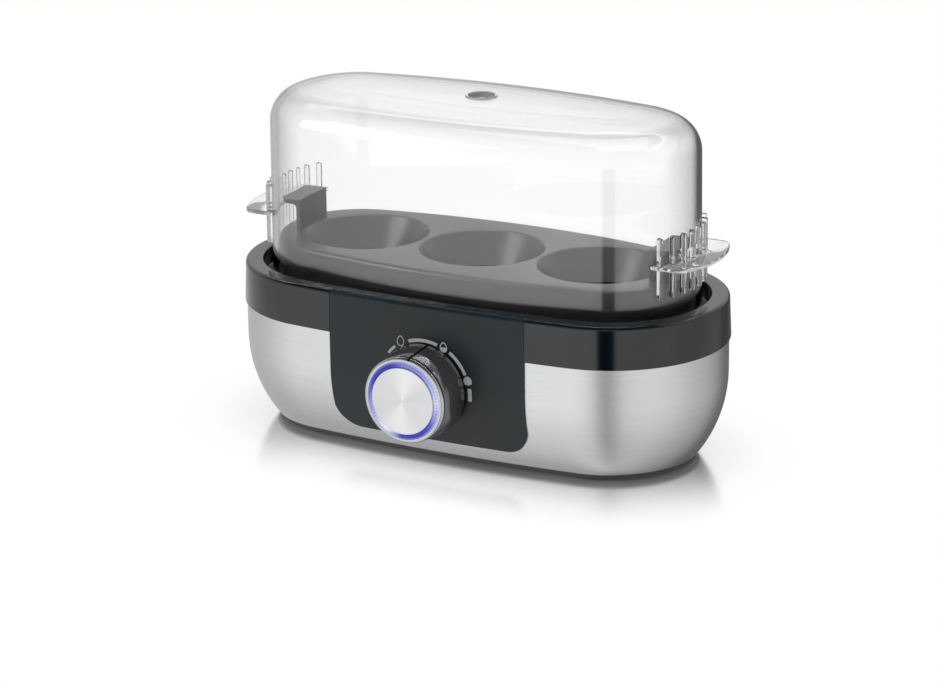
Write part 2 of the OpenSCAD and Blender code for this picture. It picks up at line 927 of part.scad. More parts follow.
module potentiometer() {
    back = -panel_t - pot_depth;
    color("#1d3a63")
        on_knob()
            difference() {
                union() {
                    translate([-pot_side / 2, -pot_side / 2, back])
                        cube([pot_side, pot_side, pot_depth]);
                    translate([0, 0, -panel_t - fuse])
                        cylinder(panel_t + fuse + bush_z, bush_r, bush_r);
                }
                translate([0, 0, back - fuse])
                    cylinder(bush_z - back + 2 * fuse, shaft_r + run_gap, shaft_r + run_gap);
                translate([0, 0, back - fuse])
                    cylinder(cavity_z - back + fuse, cavity_r, cavity_r);
            }
}

module pot_nut() {
    color("silver")
        on_knob()
            translate([0, 0, seat_proud])
                difference() {
                    cylinder(nut_t, bush_r + 2.1, bush_r + 2.1, $fn = 6);
                    translate([0, 0, -fuse])
                        cylinder(nut_t + 2 * fuse, bush_r + 0.02, bush_r + 0.02);
                }
}

module tact_switch() {
    color("#202224")
        on_knob()
            translate([0, 0, -panel_t - pot_depth]) {
                translate([-switch_side / 2, -switch_side / 2, 0])
                    cube([switch_side, switch_side, switch_h / 2]);
                cylinder(switch_h, rod_r + 0.3, rod_r + 0.3);
            }
}

module led_set() {
    color("#6f86ff")
        on_knob()
            led_places()
                translate([0, 0, -panel_t - pot_depth])
                    cylinder(pot_depth - 2.6, led_r, led_r);
}

module light_pipes() {
    color("#cfd6ff")
        on_knob()
            led_places()
                translate([0, 0, -panel_t - 2.4])
                    cylinder(panel_t + 2.4 + seat_proud, led_r, led_r);
}

module relay() {
    color("#2b4fa0")
        translate([-part_edge, board_back, board_z + 3])
            cube(relay_box);
}

module transformer() {
    color("#c9a227")
        translate([part_edge - coil_box[0], board_back, board_z + 2])
            cube(coil_box);
}

module buzzer() {
    color("#1a1a1a")
        translate([0, board_back, board_z + board_h - buzzer_r - 0.6])
            rotate([-90, 0, 0])
                difference() {
                    cylinder(buzzer_h, buzzer_r, buzzer_r);
                    translate([0, 0, buzzer_h - 1])
                        cylinder(1 + fuse, 1, 1);
                }
}

module terminal_block() {
    color("#e5e2d6")
        difference() {
            translate([-block_len / 2, block_y, block_z])
                cube([block_len, block_d, block_h]);
            for (k = [-1, 0, 1])
                translate([k * block_pitch, block_y + block_d / 2, block_z + block_h - 3])
                    cylinder(3 + fuse, 2, 2);
        }
}

module cord_gland() {
    color("#1c1c1d")
        at_gland()
            difference() {
                union() {
                    cylinder(2, gland_flange_r, gland_flange_r);
                    translate([0, 0, -shell_t - gland_sag - 4.5])
                        cylinder(shell_t + gland_sag + 4.5 + fuse, gland_r, gland_r);
                }
                translate([0, 0, -shell_t - gland_sag - 5])
                    cylinder(shell_t + gland_sag + 8, gland_bore, gland_bore);
            }
}

module gland_nut() {
    color("#2c2c2d")
        at_gland()
            translate([0, 0, -shell_t - gland_sag - 3.5])
                difference() {
                    cylinder(3.5, gland_nut_r, gland_nut_r, $fn = 6);
                    translate([0, 0, -fuse])
                        cylinder(3.5 + 2 * fuse, gland_r + 0.02, gland_r + 0.02);
                }
}

// A lead through hand-set points, straight at both ends, drawn as an eight-sided tube
lead_sides = 8;
lead_steps = 5;
function smooth(p, i, t) =
    let (a = p[max(i - 1, 0)])
    let (b = p[i])
    let (c = p[i + 1])
    let (d = p[min(i + 2, len(p) - 1)])
    let (straight = i == 0 || i == len(p) - 2)
    straight
        ? b + t * (c - b)
        : 0.5 * (2 * b + t * (c - a) + t * t * (2 * a - 5 * b + 4 * c - d)
            + t * t * t * (3 * b - a - 3 * c + d));
function lead_path(p) = concat(
    [for (i = [0:len(p) - 2]) for (k = [0:lead_steps - 1]) smooth(p, i, k / lead_steps)],
    [p[len(p) - 1]]
);
function unit(v) = v / norm(v);
function ring(path, i, side) =
    let (last = len(path) - 1)
    let (t = unit(path[min(i + 1, last)] - path[max(i - 1, 0)]))
    let (u = unit(cross(t, side)))
    let (v = cross(t, u))
    [for (k = [0:lead_sides - 1])
        path[i] + lead_r * (cos(360 * k / lead_sides) * u + sin(360 * k / lead_sides) * v)];

module lead(points, side) {
    path = lead_path(points);
    n = len(path);
    m = lead_sides;
    skin = [for (i = [0:n - 2]) for (k = [0:m - 1]) [
        [i * m + k, i * m + (k + 1) % m, (i + 1) * m + k],
        [i * m + (k + 1) % m, (i + 1) * m + (k + 1) % m, (i + 1) * m + k]
    ]];
    polyhedron(
        points = [for (i = [0:n - 1]) each ring(path, i, side)],
        faces = concat(
            [[for (k = [m - 1:-1:0]) k]],
            [for (pair = skin) each pair],
            [[for (k = [0:m - 1]) (n - 1) * m + k]]
        )
    );
}

module live_lead() {
    color("#6b3a1e")
        lead([
            [-block_pitch, block_y, lead_z],
            [-block_pitch, block_y - 3, lead_z],
            [-14, 6, lead_z],
            [-22, -8, 12],
            [-28, -22, 17],
            live_end + [0, 3, 0],
            live_end
        ], [0, 0, 1]);
}

module neutral_lead() {
    z = spreader_low - stat_h - stat_tab_l;
    color("#2f56a8")
        lead([
            [0, block_y, lead_z],
            [0, block_y - 3, lead_z],
            [1, 9, 12],
            [3, 3, 19],
            [stat_tab_x, 0, z - 3],
            [stat_tab_x, 0, z]
        ], [1, 0, 0]);
}

module heater_lead() {
    z = tube_z - pin_l;
    color("#7a2020")
        lead([
            heater_end,
            heater_end + [0, 3, 0],
            [33, -20, 31],
            [27, -2, 23],
            [16, 11, 20],
            [pin_x, loop[1], z - 5],
            [pin_x, loop[1], z - 2],
            [pin_x, loop[1], z]
        ], [1, 0, 0]);
}

module link_lead() {
    low = spreader_low - stat_h - stat_tab_l;
    z = tube_z - pin_l;
    color("#7a2020")
        lead([
            [-stat_tab_x, 0, low],
            [-stat_tab_x, 0, low - 3],
            [-6, 4, 22],
            [-9, 12, 22],
            [-pin_x, loop[1], z - 5],
            [-pin_x, loop[1], z - 2],
            [-pin_x, loop[1], z]
        ], [1, 0, 0]);
}

module earth_lead() {
    z = spreader_low - tag_l;
    color("#4f8f2a")
        lead([
            [block_pitch, block_y, lead_z],
            [block_pitch, block_y - 3, lead_z],
            [18, 10, 9],
            [32, 6, 14],
            [tag_x, 1, 26],
            [tag_x, 0, z - 3],
            [tag_x, 0, z]
        ], [0, 1, 1]);
}

module earth_tag() {
    color("silver") {
        translate([tag_x - 4, -3, spreader_low - tag_t])
            cube([8, 6, tag_t]);
        translate([tag_x - 0.4, -2, spreader_low - tag_l])
            cube([0.8, 4, tag_l - tag_t + fuse / 2]);
    }
}

module knob_sleeve() {
    inner = light_r + 0.02;
    color("#0d0d0e")
        on_knob()
            difference() {
                rotate_extrude()
                    polygon([
                        [inner, sleeve_z],
                        [knob_rear_r - 0.4, sleeve_z],
                        [knob_rear_r, sleeve_z + 0.4],
                        [knob_r + 0.1, chrome_z],
                        [inner, chrome_z]
                    ]);
                pointer_cut();
            }
}

// The pointer groove on top of the knob
module pointer_cut() {
    rotate([0, 0, -pointer_at])
        translate([-pointer_w / 2, knob_r - pointer_d, 0])
            cube([pointer_w, knob_r, 2 * light_z]);
}

module knob_chrome_ring() {
    inner = light_r + 0.02;
    round = min(knob_r - inner, chrome_h) * 0.65;
    color("#d8dadc")
        on_knob()
            difference() {
                rotate_extrude() {
                    translate([inner, chrome_z])
                        square([knob_r - inner, chrome_h - round]);
                    translate([inner, chrome_z])
                        square([knob_r - inner - round, chrome_h]);
                    translate([knob_r - round, chrome_z + chrome_h - round])
                        quarter(round);
                }
                pointer_cut();
            }
}

module knob_light_ring() {
    color("#3b46d6")
        on_knob()
            rotate_extrude() {
                translate([light_r - light_w, web_z])
                    square([light_w, light_z - web_z]);
                translate([hub_r - fuse, web_z])
                    square([light_r - light_w - hub_r + 2 * fuse, web_t]);
                translate([shaft_r + 0.02, web_z])
                    square([hub_r - shaft_r - 0.02, hub_z - web_z]);
            }
}

module knob_shaft() {
    collar_top = cavity_z - 0.3;
    color("#a9adb0")
        on_knob()
            rotate_extrude() {
                translate([rod_r + 0.1, collar_top - 1])
                    square([shaft_r - rod_r - 0.1, hub_z - collar_top + 1]);
                translate([shaft_r - fuse, collar_top - 1])
                    square([cavity_r - 0.4 - shaft_r + fuse, 1]);
            }
}

module face_disc() {
    color("#c3c5c8")
        on_knob()
            translate([0, 0, disc_z - disc_t])
                cylinder(disc_t, disc_r, disc_r);
}

module button_plunger() {
    color("#e6e6e4")
        on_knob() {
            translate([0, 0, disc_z - disc_t - 1.2])
                cylinder(1.2, disc_r - 0.2, disc_r - 0.2);
            translate([0, 0, rod_end])
                cylinder(disc_z - disc_t - rod_end - fuse, rod_r, rod_r);
        }
}

module egg_rack() {
    foot_u = -rack_in - rack_step;
    cup_z = rack_top - cup_h;
    color("#3c3f41")
        difference() {
            union() {
                swept(lid_oval) {
                    translate([-rack_in - rack_t, rack_top - rack_band_h])
                        square([rack_t, rack_band_h - rack_round]);
                    translate([-rack_in - rack_round, rack_top - rack_round])
                        quarter(rack_round);
                    translate([foot_u - rack_t, rack_top - rack_t])
                        square([rack_step + rack_t - rack_round, rack_t]);
                    translate([foot_u - rack_t, rack_z])
                        square([rack_t, rack_top - rack_z]);
                    translate([hub - end_r(lid_oval), rack_top - rack_t])
                        square([end_r(lid_oval) - hub + foot_u, rack_t]);
                }
                core(lid_oval, rack_top - rack_t, rack_top);
                for (k = [-1, 0, 1])
                    translate([k * egg_pitch, 0, cup_z])
                        cylinder(cup_h, cup_low_r + cup_t, cup_r + cup_t);
                for (side = [0, 180])
                    rotate([0, 0, side])
                        rack_handle();
            }
            for (k = [-1, 0, 1])
                translate([k * egg_pitch, 0, cup_z])
                    egg_seat_cut();
        }
}

// The tapering hole of one egg seat
module egg_seat_cut() {
    slope = (cup_r - cup_low_r) / cup_h;
    translate([0, 0, -fuse])
        cylinder(cup_h + 2 * fuse, cup_low_r - fuse * slope, cup_r + fuse * slope);
}

// One lifting handle: an upright with an outward flange
module rack_handle() {
    under = handle_top - handle_t;
    round = handle_corner;
    reach = handle_x + handle_t + handle_reach;
    translate([handle_x, -handle_w / 2, rack_top - rack_t])
        cube([handle_t, handle_w, handle_top - rack_top + rack_t]);
    translate([0, 0, under])
        linear_extrude(handle_t) {
            translate([handle_x, -handle_w / 2])
                square([reach - handle_x - round, handle_w]);
            translate([handle_x, round - handle_w / 2])
                square([reach - handle_x, handle_w - 2 * round]);
            for (k = [-1, 1])
                translate([reach - round, k * (handle_w / 2 - round)])
                    circle(round);
        }
    difference() {
        translate([handle_x + handle_t - fuse, -handle_w / 2, under - round / 2])
            cube([round / 2 + fuse, handle_w, round / 2 + fuse]);
        translate([handle_x + handle_t + round / 2, -handle_w, under - round / 2])
            rotate([-90, 0, 0])
                cylinder(2 * handle_w, round / 2, round / 2);
    }
}

// The hood's wall, rounded edge, crown and flat top
module lid_profile() {
    far = 2 * lid_crown_r;
    polygon([
        [0, lid_z],
        [-lid_draft, lid_wall_z],
        [-lid_draft - lid_t, lid_wall_z],
        [-lid_t, lid_z]
    ]);
    intersection() {
        shift([lid_c1[0], lid_c1[1], 0])
            difference() {
                circle(lid_round);
                circle(lid_round - lid_t);
            }
        shift([lid_c1[0], lid_c1[1], 0])
            intersection() {
                square(far);
                rotate([0, 0, lid_turn])
                    translate([0, -far])
                        square([far, far]);
            }
    }
    intersection() {
        shift([lid_c2[0], lid_c2[1], 0])
            difference() {
                circle(lid_crown_r);
                circle(lid_crown_r - lid_t);
            }
        shift([lid_c1[0], lid_c1[1], 0])
            rotate([0, 0, lid_turn])
                translate([-far / 2, 0])
                    square([2 * far, far]);
        shift([lid_c2[0], lid_c2[1], 0])
            square(far);
    }
    shift([lid_c2[0], lid_top_z - lid_t, 0])
        translate([-(end_r(lid_oval) - hub - lid_flat_in), 0])
            square([end_r(lid_oval) - hub - lid_flat_in, lid_t]);
}

// A grip tab seen from above, about the middle of an end arc
module tab_outline() {
    outer = end_r(lid_oval) + tab_reach;
    y = tab_w / 2 - tab_corner;
    x = sqrt(pow(outer - tab_corner, 2) - pow(y, 2));
    difference() {
        union() {
            translate([0, -tab_w / 2])
                square([x, tab_w]);
            for (k = [-1, 1])
                shift([x, k * y, 0])
                    circle(tab_corner);
            intersection() {
                circle(outer);
                polygon([[0, 0], [2 * x, -2 * y], [2 * x, 2 * y]]);
            }
        }
        circle(end_r(lid_oval) - lid_draft - lid_t / 2);
    }
}

// One upright rib with round ends, standing off the wall along X
module rib() {
    start = end_r(lid_oval) - lid_draft - lid_t / 2;
    length = end_r(lid_oval) + rib_out - start;
    translate([start, 0, lid_z + rib_low])
        rotate([90, 0, 90])
            linear_extrude(length) {
                translate([-rib_w / 2, rib_w / 2])
                    square([rib_w, rib_h - rib_w]);
                for (k = [rib_w / 2, rib_h - rib_w / 2])
                    translate([0, k])
                        circle(rib_w / 2, $fn = 32);
            }
}

module lid() {
    color("#e8eef0", 0.4)
        difference() {
            union() {
                swept(lid_oval)
                    lid_profile();
                core(lid_oval, lid_top_z - lid_t, lid_top_z);
                translate([0, 0, lid_top_z - lid_t / 2])
                    cylinder(lid_t / 2 + vent_ring_h, vent_r + vent_ring_w, vent_r + vent_ring_w);
                for (side = [0, 180])
                    rotate([0, 0, side])
                        translate([end_x(lid_oval), 0, 0]) {
                            translate([0, 0, tab_z])
                                linear_extrude(tab_t)
                                    tab_outline();
                            for (k = [0:rib_count - 1])
                                rotate([0, 0, (k - (rib_count - 1) / 2) * rib_step])
                                    rib();
                        }
            }
            translate([0, 0, lid_top_z - 2 * lid_t])
                cylinder(4 * lid_t, vent_r, vent_r);
        }
}

base_plate();
rubber_feet();
base_screws();
steel_shell();
rim_collar();
front_panel();
pan_gasket();
heating_pan();
pan_clips();
clip_screws();
heat_spreader();
heating_element();
element_saddles();
thermostat();
thermostat_bracket();
bracket_screws();
thermal_fuse();
fuse_clip();
circuit_board();
board_screws();
potentiometer();
pot_nut();
tact_switch();
led_set();
light_pipes();
relay();
transformer();
buzzer();
terminal_block();
cord_gland();
gland_nut();
live_lead();
neutral_lead();
heater_lead();
link_lead();
earth_lead();
earth_tag();
knob_sleeve();
knob_chrome_ring();
knob_light_ring();
knob_shaft();
face_disc();
button_plunger();
egg_rack();
lid();
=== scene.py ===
"""Looks of the three-egg cooker: steel bowl, dark collar and panel, lit knob, egg rack and clear hood."""

import json
from math import asin, atan2, cos, degrees, pi, radians, sin

import bmesh
import bpy
from mathutils import Matrix, Vector


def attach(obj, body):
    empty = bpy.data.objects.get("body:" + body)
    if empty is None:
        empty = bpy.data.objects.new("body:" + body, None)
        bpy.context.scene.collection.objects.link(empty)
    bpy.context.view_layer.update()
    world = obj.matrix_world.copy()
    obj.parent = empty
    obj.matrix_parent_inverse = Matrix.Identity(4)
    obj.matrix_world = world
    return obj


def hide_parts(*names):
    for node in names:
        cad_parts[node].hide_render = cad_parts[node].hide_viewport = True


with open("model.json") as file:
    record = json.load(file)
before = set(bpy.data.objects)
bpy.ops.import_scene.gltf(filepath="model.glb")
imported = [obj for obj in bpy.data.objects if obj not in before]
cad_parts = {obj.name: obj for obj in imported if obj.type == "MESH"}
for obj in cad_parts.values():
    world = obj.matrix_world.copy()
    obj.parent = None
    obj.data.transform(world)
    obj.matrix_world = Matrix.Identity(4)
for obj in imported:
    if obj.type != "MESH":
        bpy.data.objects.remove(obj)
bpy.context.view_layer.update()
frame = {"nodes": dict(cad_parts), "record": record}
node = frame["nodes"]
scene = bpy.context.scene

# Sizes on the drawing are in millimetres
MM = 0.001
ORIGIN = (0, 0, 0)
UPRIGHT = (0, 0, 1)
KNOB_Z = 30.1
ON_KNOB = Matrix.Translation((0, -45.5, KNOB_Z)) @ Matrix.Rotation(pi / 2, 4, "X")

# Sizes that neighbours share: the collar's rim, the curve of the bowl's wall, the height that the hood
# and the rack stand at, and the radius where the hood's ribs and tabs start
RIM_TOP, RIM_ROUND, RIM_LOW = 60.8, 1.4, 45.2
WALL_Z, WALL_HUB = 32.311, -49.75
STAND_Z = 54.2
GRIP_START = 30.85

# How finely the curves are stepped, and the angle from which an edge shows as a crease
END_STEPS, SIDE_STEPS, KNOB_STEPS = 72, 36, 144
CREASE = radians(32)


class Oval:
    """Round ends joined by long sides that bow out a little."""

    def __init__(self, half_length, half_width, bow):
        run = half_length - half_width + bow
        side = (run**2 + half_width**2 - (half_width - bow) ** 2) / (2 * bow)
        self.turn = radians(round(degrees(atan2(side - half_width, run)), 2))
        squeeze = (1 - sin(self.turn)) / cos(self.turn)
        self.end_r = (half_width - half_length * squeeze) / (1 - squeeze)
        self.end_x = half_length - self.end_r
        self.side_r = self.end_r + self.end_x / cos(self.turn)
        self.side_y = self.side_r - half_width

    def edge_angle(self, x):
        """Direction, from the front arc's centre, of the front side at x."""
        return asin(x / self.side_r) - pi / 2


BODY = Oval(95, 45.5, 2.2)
PAN_HOLE = Oval(65, 28, 2.2)
HOOD = Oval(84.4, 37.2, 5)


def verts_in(geom):
    return [g for g in geom if isinstance(g, bmesh.types.BMVert)]


def profile(bm):
    """All that is drawn so far, to be carried or spun."""
    return bm.verts[:] + bm.edges[:]


class Pen:
    """Draws a chain of edges in the XZ plane, x outwards and z up."""

    def __init__(self, bm, x, z):
        self.bm = bm
        self.tip = self.first = bm.verts.new((x, 0, z))

    def line(self, x, z):
        self.tip = bmesh.ops.extrude_vert_indiv(self.bm, verts=[self.tip])["verts"][0]
        self.tip.co = (x, 0, z)
        return self

    def arc(self, x, z, angle, steps):
        """Turns the tip about (x, z), anticlockwise with x to the right and z up."""
        turned = bmesh.ops.spin(
            self.bm, geom=[self.tip], cent=(x, 0, z), axis=(0, -1, 0), angle=radians(angle), steps=steps
        )
        self.tip = verts_in(turned["geom_last"])[0]
        return self

    def close(self):
        self.bm.edges.new((self.tip, self.first))
        return self


def counts(bm):
    return len(bm.verts), len(bm.edges)


def drawn(bm, before):
    """What was added to the mesh since it held that many vertices and edges."""
    bm.verts.ensure_lookup_table()
    bm.edges.ensure_lookup_table()
    return bm.verts[before[0]:] + bm.edges[before[1]:]


def carry(bm, geom, start, radius, centre, stretches):
    """Stands a profile up at a direction from a centre and carries it along (centre, angle, steps) arcs."""
    place = Matrix.Translation(centre) @ Matrix.Rotation(start, 4, "Z") @ Matrix.Translation((radius, 0, 0))
    bmesh.ops.transform(bm, matrix=place, verts=verts_in(geom))
    for about, angle, steps in stretches:
        turned = bmesh.ops.spin(bm, geom=geom, cent=about, axis=UPRIGHT, angle=angle, steps=steps)
        geom = turned["geom_last"]


def sweep(bm, geom, oval, gap=None):
    """Carries a profile round an oval, all the way or leaving out the front between -gap and gap."""
    right, left = (oval.end_x, 0, 0), (-oval.end_x, 0, 0)
    front, back = (0, oval.side_y, 0), (0, -oval.side_y, 0)
    end, side = 2 * oval.turn, pi - 2 * oval.turn
    if gap is None:
        carry(bm, geom, -oval.turn, oval.end_r, right, [
            (right, end, END_STEPS), (back, side, SIDE_STEPS),
            (left, end, END_STEPS), (front, side, SIDE_STEPS),
        ])
        return
    start = oval.edge_angle(gap)
    rest = -oval.turn - start
    carry(bm, geom, start, oval.side_r, front, [
        (front, rest, SIDE_STEPS // 4), (right, end, END_STEPS), (back, side, SIDE_STEPS),
        (left, end, END_STEPS), (front, rest, SIDE_STEPS // 4),
    ])


def sweep_front(bm, geom, oval, half, steps):
    """Carries a profile along the front side from -half to half."""
    start, hub = oval.edge_angle(-half), (0, oval.side_y, 0)
    carry(bm, geom, start, oval.side_r, hub, [(hub, oval.edge_angle(half) - start, steps)])


def weld(bm):
    bmesh.ops.remove_doubles(bm, verts=bm.verts, dist=0.003)


def face_out(bm):
    bmesh.ops.recalc_face_normals(bm, faces=bm.faces)


def spin_round(bm, steps):
    """Spins a drawn profile all the way round the upright axis."""
    bmesh.ops.spin(
        bm, geom=profile(bm), cent=ORIGIN, axis=UPRIGHT, angle=2 * pi, steps=steps, use_merge=True
    )


def open_edges(bm):
    return [e for e in bm.edges if len(e.link_faces) < 2]


def fill_levels(bm, *heights):
    """Closes the open rims that lie flat at these heights."""
    rims = open_edges(bm)
    for height in heights:
        level = [e for e in rims if all(abs(v.co.z - height) < 0.01 for v in e.verts)]
        bmesh.ops.triangle_fill(bm, use_beauty=True, edges=level)


def round_over(bm, edges, width, segments, clamp=False):
    bmesh.ops.bevel(
        bm, geom=edges, offset=width, segments=segments, profile=0.5, affect="EDGES", material=-1,
        clamp_overlap=clamp,
    )


def thicken(bm, depth, rim=0.0):
    """Fills a drawn outline, gives it depth along its back and rounds the rims of both faces."""
    face = bmesh.ops.contextual_create(bm, geom=profile(bm))["faces"][0]
    made = bmesh.ops.extrude_face_region(bm, geom=[face])["geom"]
    bmesh.ops.translate(bm, vec=(0, depth, 0), verts=verts_in(made))
    face_out(bm)
    if rim:
        flat = [e for e in bm.edges if abs(e.verts[0].co.y - e.verts[1].co.y) < 1e-4]
        round_over(bm, flat, rim, 3, clamp=True)


def join(bm, other):
    """Adds another mesh to this one."""
    held = bpy.data.meshes.new("held")
    other.to_mesh(held)
    other.free()
    bm.from_mesh(held)
    bpy.data.meshes.remove(held)
    return bm


def fuse(bm, other):
    """Joins two closed meshes into one skin."""
    pair = []
    for part in (bm, other):
        mesh = bpy.data.meshes.new("part")
        part.to_mesh(mesh)
        part.free()
        pair.append(bpy.data.objects.new("part", mesh))
        scene.collection.objects.link(pair[-1])
    cut = pair[0].modifiers.new("fuse", "BOOLEAN")
    cut.operation = "UNION"
    cut.solver = "EXACT"
    cut.object = pair[1]
    fused = bpy.data.meshes.new_from_object(pair[0].evaluated_get(bpy.context.evaluated_depsgraph_get()))
    made = bmesh.new()
    made.from_mesh(fused)
    bpy.data.meshes.remove(fused)
    for obj in pair:
        bpy.data.meshes.remove(obj.data)
    return made


def soften(obj, width):
    """Rounds the sharp edges of a finished piece."""
    bevel = obj.modifiers.new("soft_edges", "BEVEL")
    bevel.width = width * MM
    bevel.segments = 3
    bevel.limit_method = "ANGLE"
    bevel.angle_limit = radians(40)
    bevel.harden_normals = True


def piece(name, bm, body, finish, replaces):
    """Makes the finished mesh an object that moves with a body and stands for CAD nodes."""
    bmesh.ops.scale(bm, verts=bm.verts, vec=(MM, MM, MM))
    mesh = bpy.data.meshes.new(name)
    bm.to_mesh(mesh)
    bm.free()
    mesh.shade_smooth()
    mesh.set_sharp_from_angle(angle=CREASE)
    mesh.materials.append(finish)
    obj = bpy.data.objects.new(name, mesh)
    scene.collection.objects.link(obj)
    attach(obj, body)
    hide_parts(*replaces)
    return obj


class Value:
    """A socket that can be used in sums; each sum adds a Math node."""

    def __init__(self, finish, socket):
        self.finish = finish
        self.socket = socket

    def math(self, operation, a, b=0.0):
        return self.finish.node("ShaderNodeMath", {"operation": operation}, {0: a, 1: b})

    def __add__(self, other):
        return self.math("ADD", self, other)

    __radd__ = __add__

    def __sub__(self, other):
        return self.math("SUBTRACT", self, other)

    def __rsub__(self, other):
        return self.math("SUBTRACT", other, self)

    def __mul__(self, other):
        return self.math("MULTIPLY", self, other)

    __rmul__ = __mul__

    def __truediv__(self, other):
        return self.math("DIVIDE", self, other)

    def __pow__(self, other):
        return self.math("POWER", self, other)

    def __abs__(self):
        return self.math("ABSOLUTE", self)

    def max(self, other):
        return self.math("MAXIMUM", self, other)

    def min(self, other):
        return self.math("MINIMUM", self, other)

    def turn(self, ahead):
        """Direction of a point in radians, from straight ahead towards this."""
        return self.math("ARCTAN2", self, ahead)

    def wave(self):
        """Swings between 0 and 1, once in every full turn."""
        return self.math("COSINE", self) * 0.5 + 0.5

    def ramp(self, low, high, at_low=0.0, at_high=1.0):
        """Eases from one value to another while this goes from low to high."""
        return self.finish.node(
            "ShaderNodeMapRange",
            {"interpolation_type": "SMOOTHSTEP"},
            {"Value": self, "From Min": low, "From Max": high, "To Min": at_low, "To Max": at_high},
        )


def length(a, b):
    return (a * a + b * b) ** 0.5


def grey(level):
    return (level, level, level, 1)


def solid(colour, share=1.0):
    """A colour, or a share of it, with its alpha."""
    return tuple(c * share for c in colour) + (1,)


class Finish:
    """A material or world being put together."""

    def __init__(self, name, owner=None):
        self.owner = owner or bpy.data.materials.new(name)
        self.owner.use_nodes = True
        self.tree = self.owner.node_tree
        self.tree.nodes.clear()

    def node(self, kind, settings=None, sockets=None, out=0):
        """Adds a node: its settings first, then the values or links of its sockets."""
        made = self.tree.nodes.new(kind)
        for key, value in (settings or {}).items():
            if key == "stops":
                while len(made.color_ramp.elements) < len(value):
                    made.color_ramp.elements.new(0.5)
                for stop, (place, colour) in zip(made.color_ramp.elements, value):
                    stop.position = place
                    stop.color = colour
            else:
                setattr(made, key, value)
        for key, value in (sockets or {}).items():
            if isinstance(value, Value):
                self.tree.links.new(value.socket, made.inputs[key])
            else:
                made.inputs[key].default_value = value
        return Value(self, made.outputs[out]) if made.outputs else None

    def outputs(self, value, *names):
        return [Value(self, value.socket.node.outputs[n]) for n in names]

    def place(self):
        """Object coordinates in millimetres, as x, y and z."""
        spot = self.node("ShaderNodeTexCoord", out="Object")
        big = self.node("ShaderNodeVectorMath", {"operation": "SCALE"}, {0: spot, "Scale": 1 / MM})
        return self.outputs(self.node("ShaderNodeSeparateXYZ", sockets={0: big}), "X", "Y", "Z")

    def rays(self, *names):
        """What kind of light path is being followed."""
        return self.outputs(self.node("ShaderNodeLightPath"), *names)

    def vector(self, x, y, z):
        return self.node("ShaderNodeCombineXYZ", sockets={"X": x, "Y": y, "Z": z})

    def noise(self, at, scale, detail=2.0, rough=0.5):
        return self.node(
            "ShaderNodeTexNoise",
            sockets={"Vector": at, "Scale": scale, "Detail": detail, "Roughness": rough},
        )

    def levels(self, at, stops):
        """Looks a level up along a ramp of (place, level)."""
        return self.node("ShaderNodeValToRGB", {"stops": [(p, grey(level)) for p, level in stops]}, {0: at})

    def blend(self, mask, a, b):
        """Colour a where the mask is 0, colour b where it is 1."""
        return self.node("ShaderNodeMix", {"data_type": "RGBA"}, {0: mask, 6: a, 7: b}, out=2)

    def mix(self, mask, a, b):
        """Shader a where the mask is 0, shader b where it is 1."""
        return self.node("ShaderNodeMixShader", sockets={0: mask, 1: a, 2: b})

    def bump(self, height, strength, distance=0.0002):
        return self.node(
            "ShaderNodeBump", sockets={"Strength": strength, "Distance": distance, "Height": height}
        )

    def surface(self, **sockets):
        """The main shader; the keywords are its socket names with _ for a space."""
        named = {key.replace("_", " "): value for key, value in sockets.items()}
        return self.node("ShaderNodeBsdfPrincipled", sockets=named)

    def done(self, shader):
        of_world = isinstance(self.owner, bpy.types.World)
        kind = "ShaderNodeOutputWorld" if of_world else "ShaderNodeOutputMaterial"
        self.node(kind, sockets={"Surface": shader})
        return self.owner


def moulded(name, colour, rough, grain=0.004, lift=0.25, **more):
    """Moulded plastic: faint flow clouds in the colour and the gloss, fine grain in the surface."""
    f = Finish(name)
    at = f.vector(*f.place())
    cloud = f.noise(at, 0.05, 3.0)
    if grain:
        more["Normal"] = f.bump(f.noise(at, 3.5), grain)
    return f.done(f.surface(
        Base_Color=f.blend(cloud.ramp(0.3, 0.7), solid(colour, 1 - lift), solid(colour, 1 + lift)),
        Roughness=rough + (cloud - 0.5) * 0.08,
        **more,
    ))


def plain_metal(name, colour, rough):
    """Bare metal with faint rubbing."""
    f = Finish(name)
    rub = f.noise(f.vector(*f.place()), 0.8, 4.0)
    return f.done(f.surface(
        Base_Color=f.blend(rub.ramp(0.2, 0.8), solid(colour, 0.85), solid(colour)),
        Metallic=1.0,
        Roughness=rough + (rub - 0.5) * 0.15,
    ))


def clear_finish(name, colour, rough):
    """Clear moulded plastic with a faint haze in its gloss."""
    f = Finish(name)
    haze = f.noise(f.vector(*f.place()), 0.15, 3.0)
    return f.done(f.surface(
        Base_Color=solid(colour),
        Roughness=haze.ramp(0.3, 0.7, rough, rough * 2),
        Transmission_Weight=1.0,
        IOR=1.49,
    ))


def brushed_steel():
    """Sheet brushed along its length: long thin scratches round the bowl, and painted shade darkening it at
    its foot.
    """
    f = Finish("brushed_steel")
    x, y, z = f.place()
    around = y.turn(x)
    long = f.noise(f.vector(around * 3.0, z * 9.0, 0.0), 1.0, 4.0, 0.7)
    short = f.noise(f.vector(around * 14.0, z * 24.0, 3.0), 1.0, 3.0, 0.6)
    brush = long * 0.6 + short * 0.4
    sheet = f.blend(brush.ramp(0.3, 0.7), (0.455, 0.464, 0.472, 1), (0.555, 0.565, 0.573, 1))
    # painted shade: the last edge of the sheet at the foot is blended towards near black
    foot = z.ramp(3.0, 2.3) * 0.7
    return f.done(f.surface(
        Base_Color=f.blend(foot, sheet, (0.02, 0.021, 0.022, 1)),
        Metallic=1.0,
        Roughness=0.25 + (brush - 0.5) * 0.12,
        Anisotropic=0.8,
        Normal=f.bump(brush, 0.04, 0.00005),
    ))


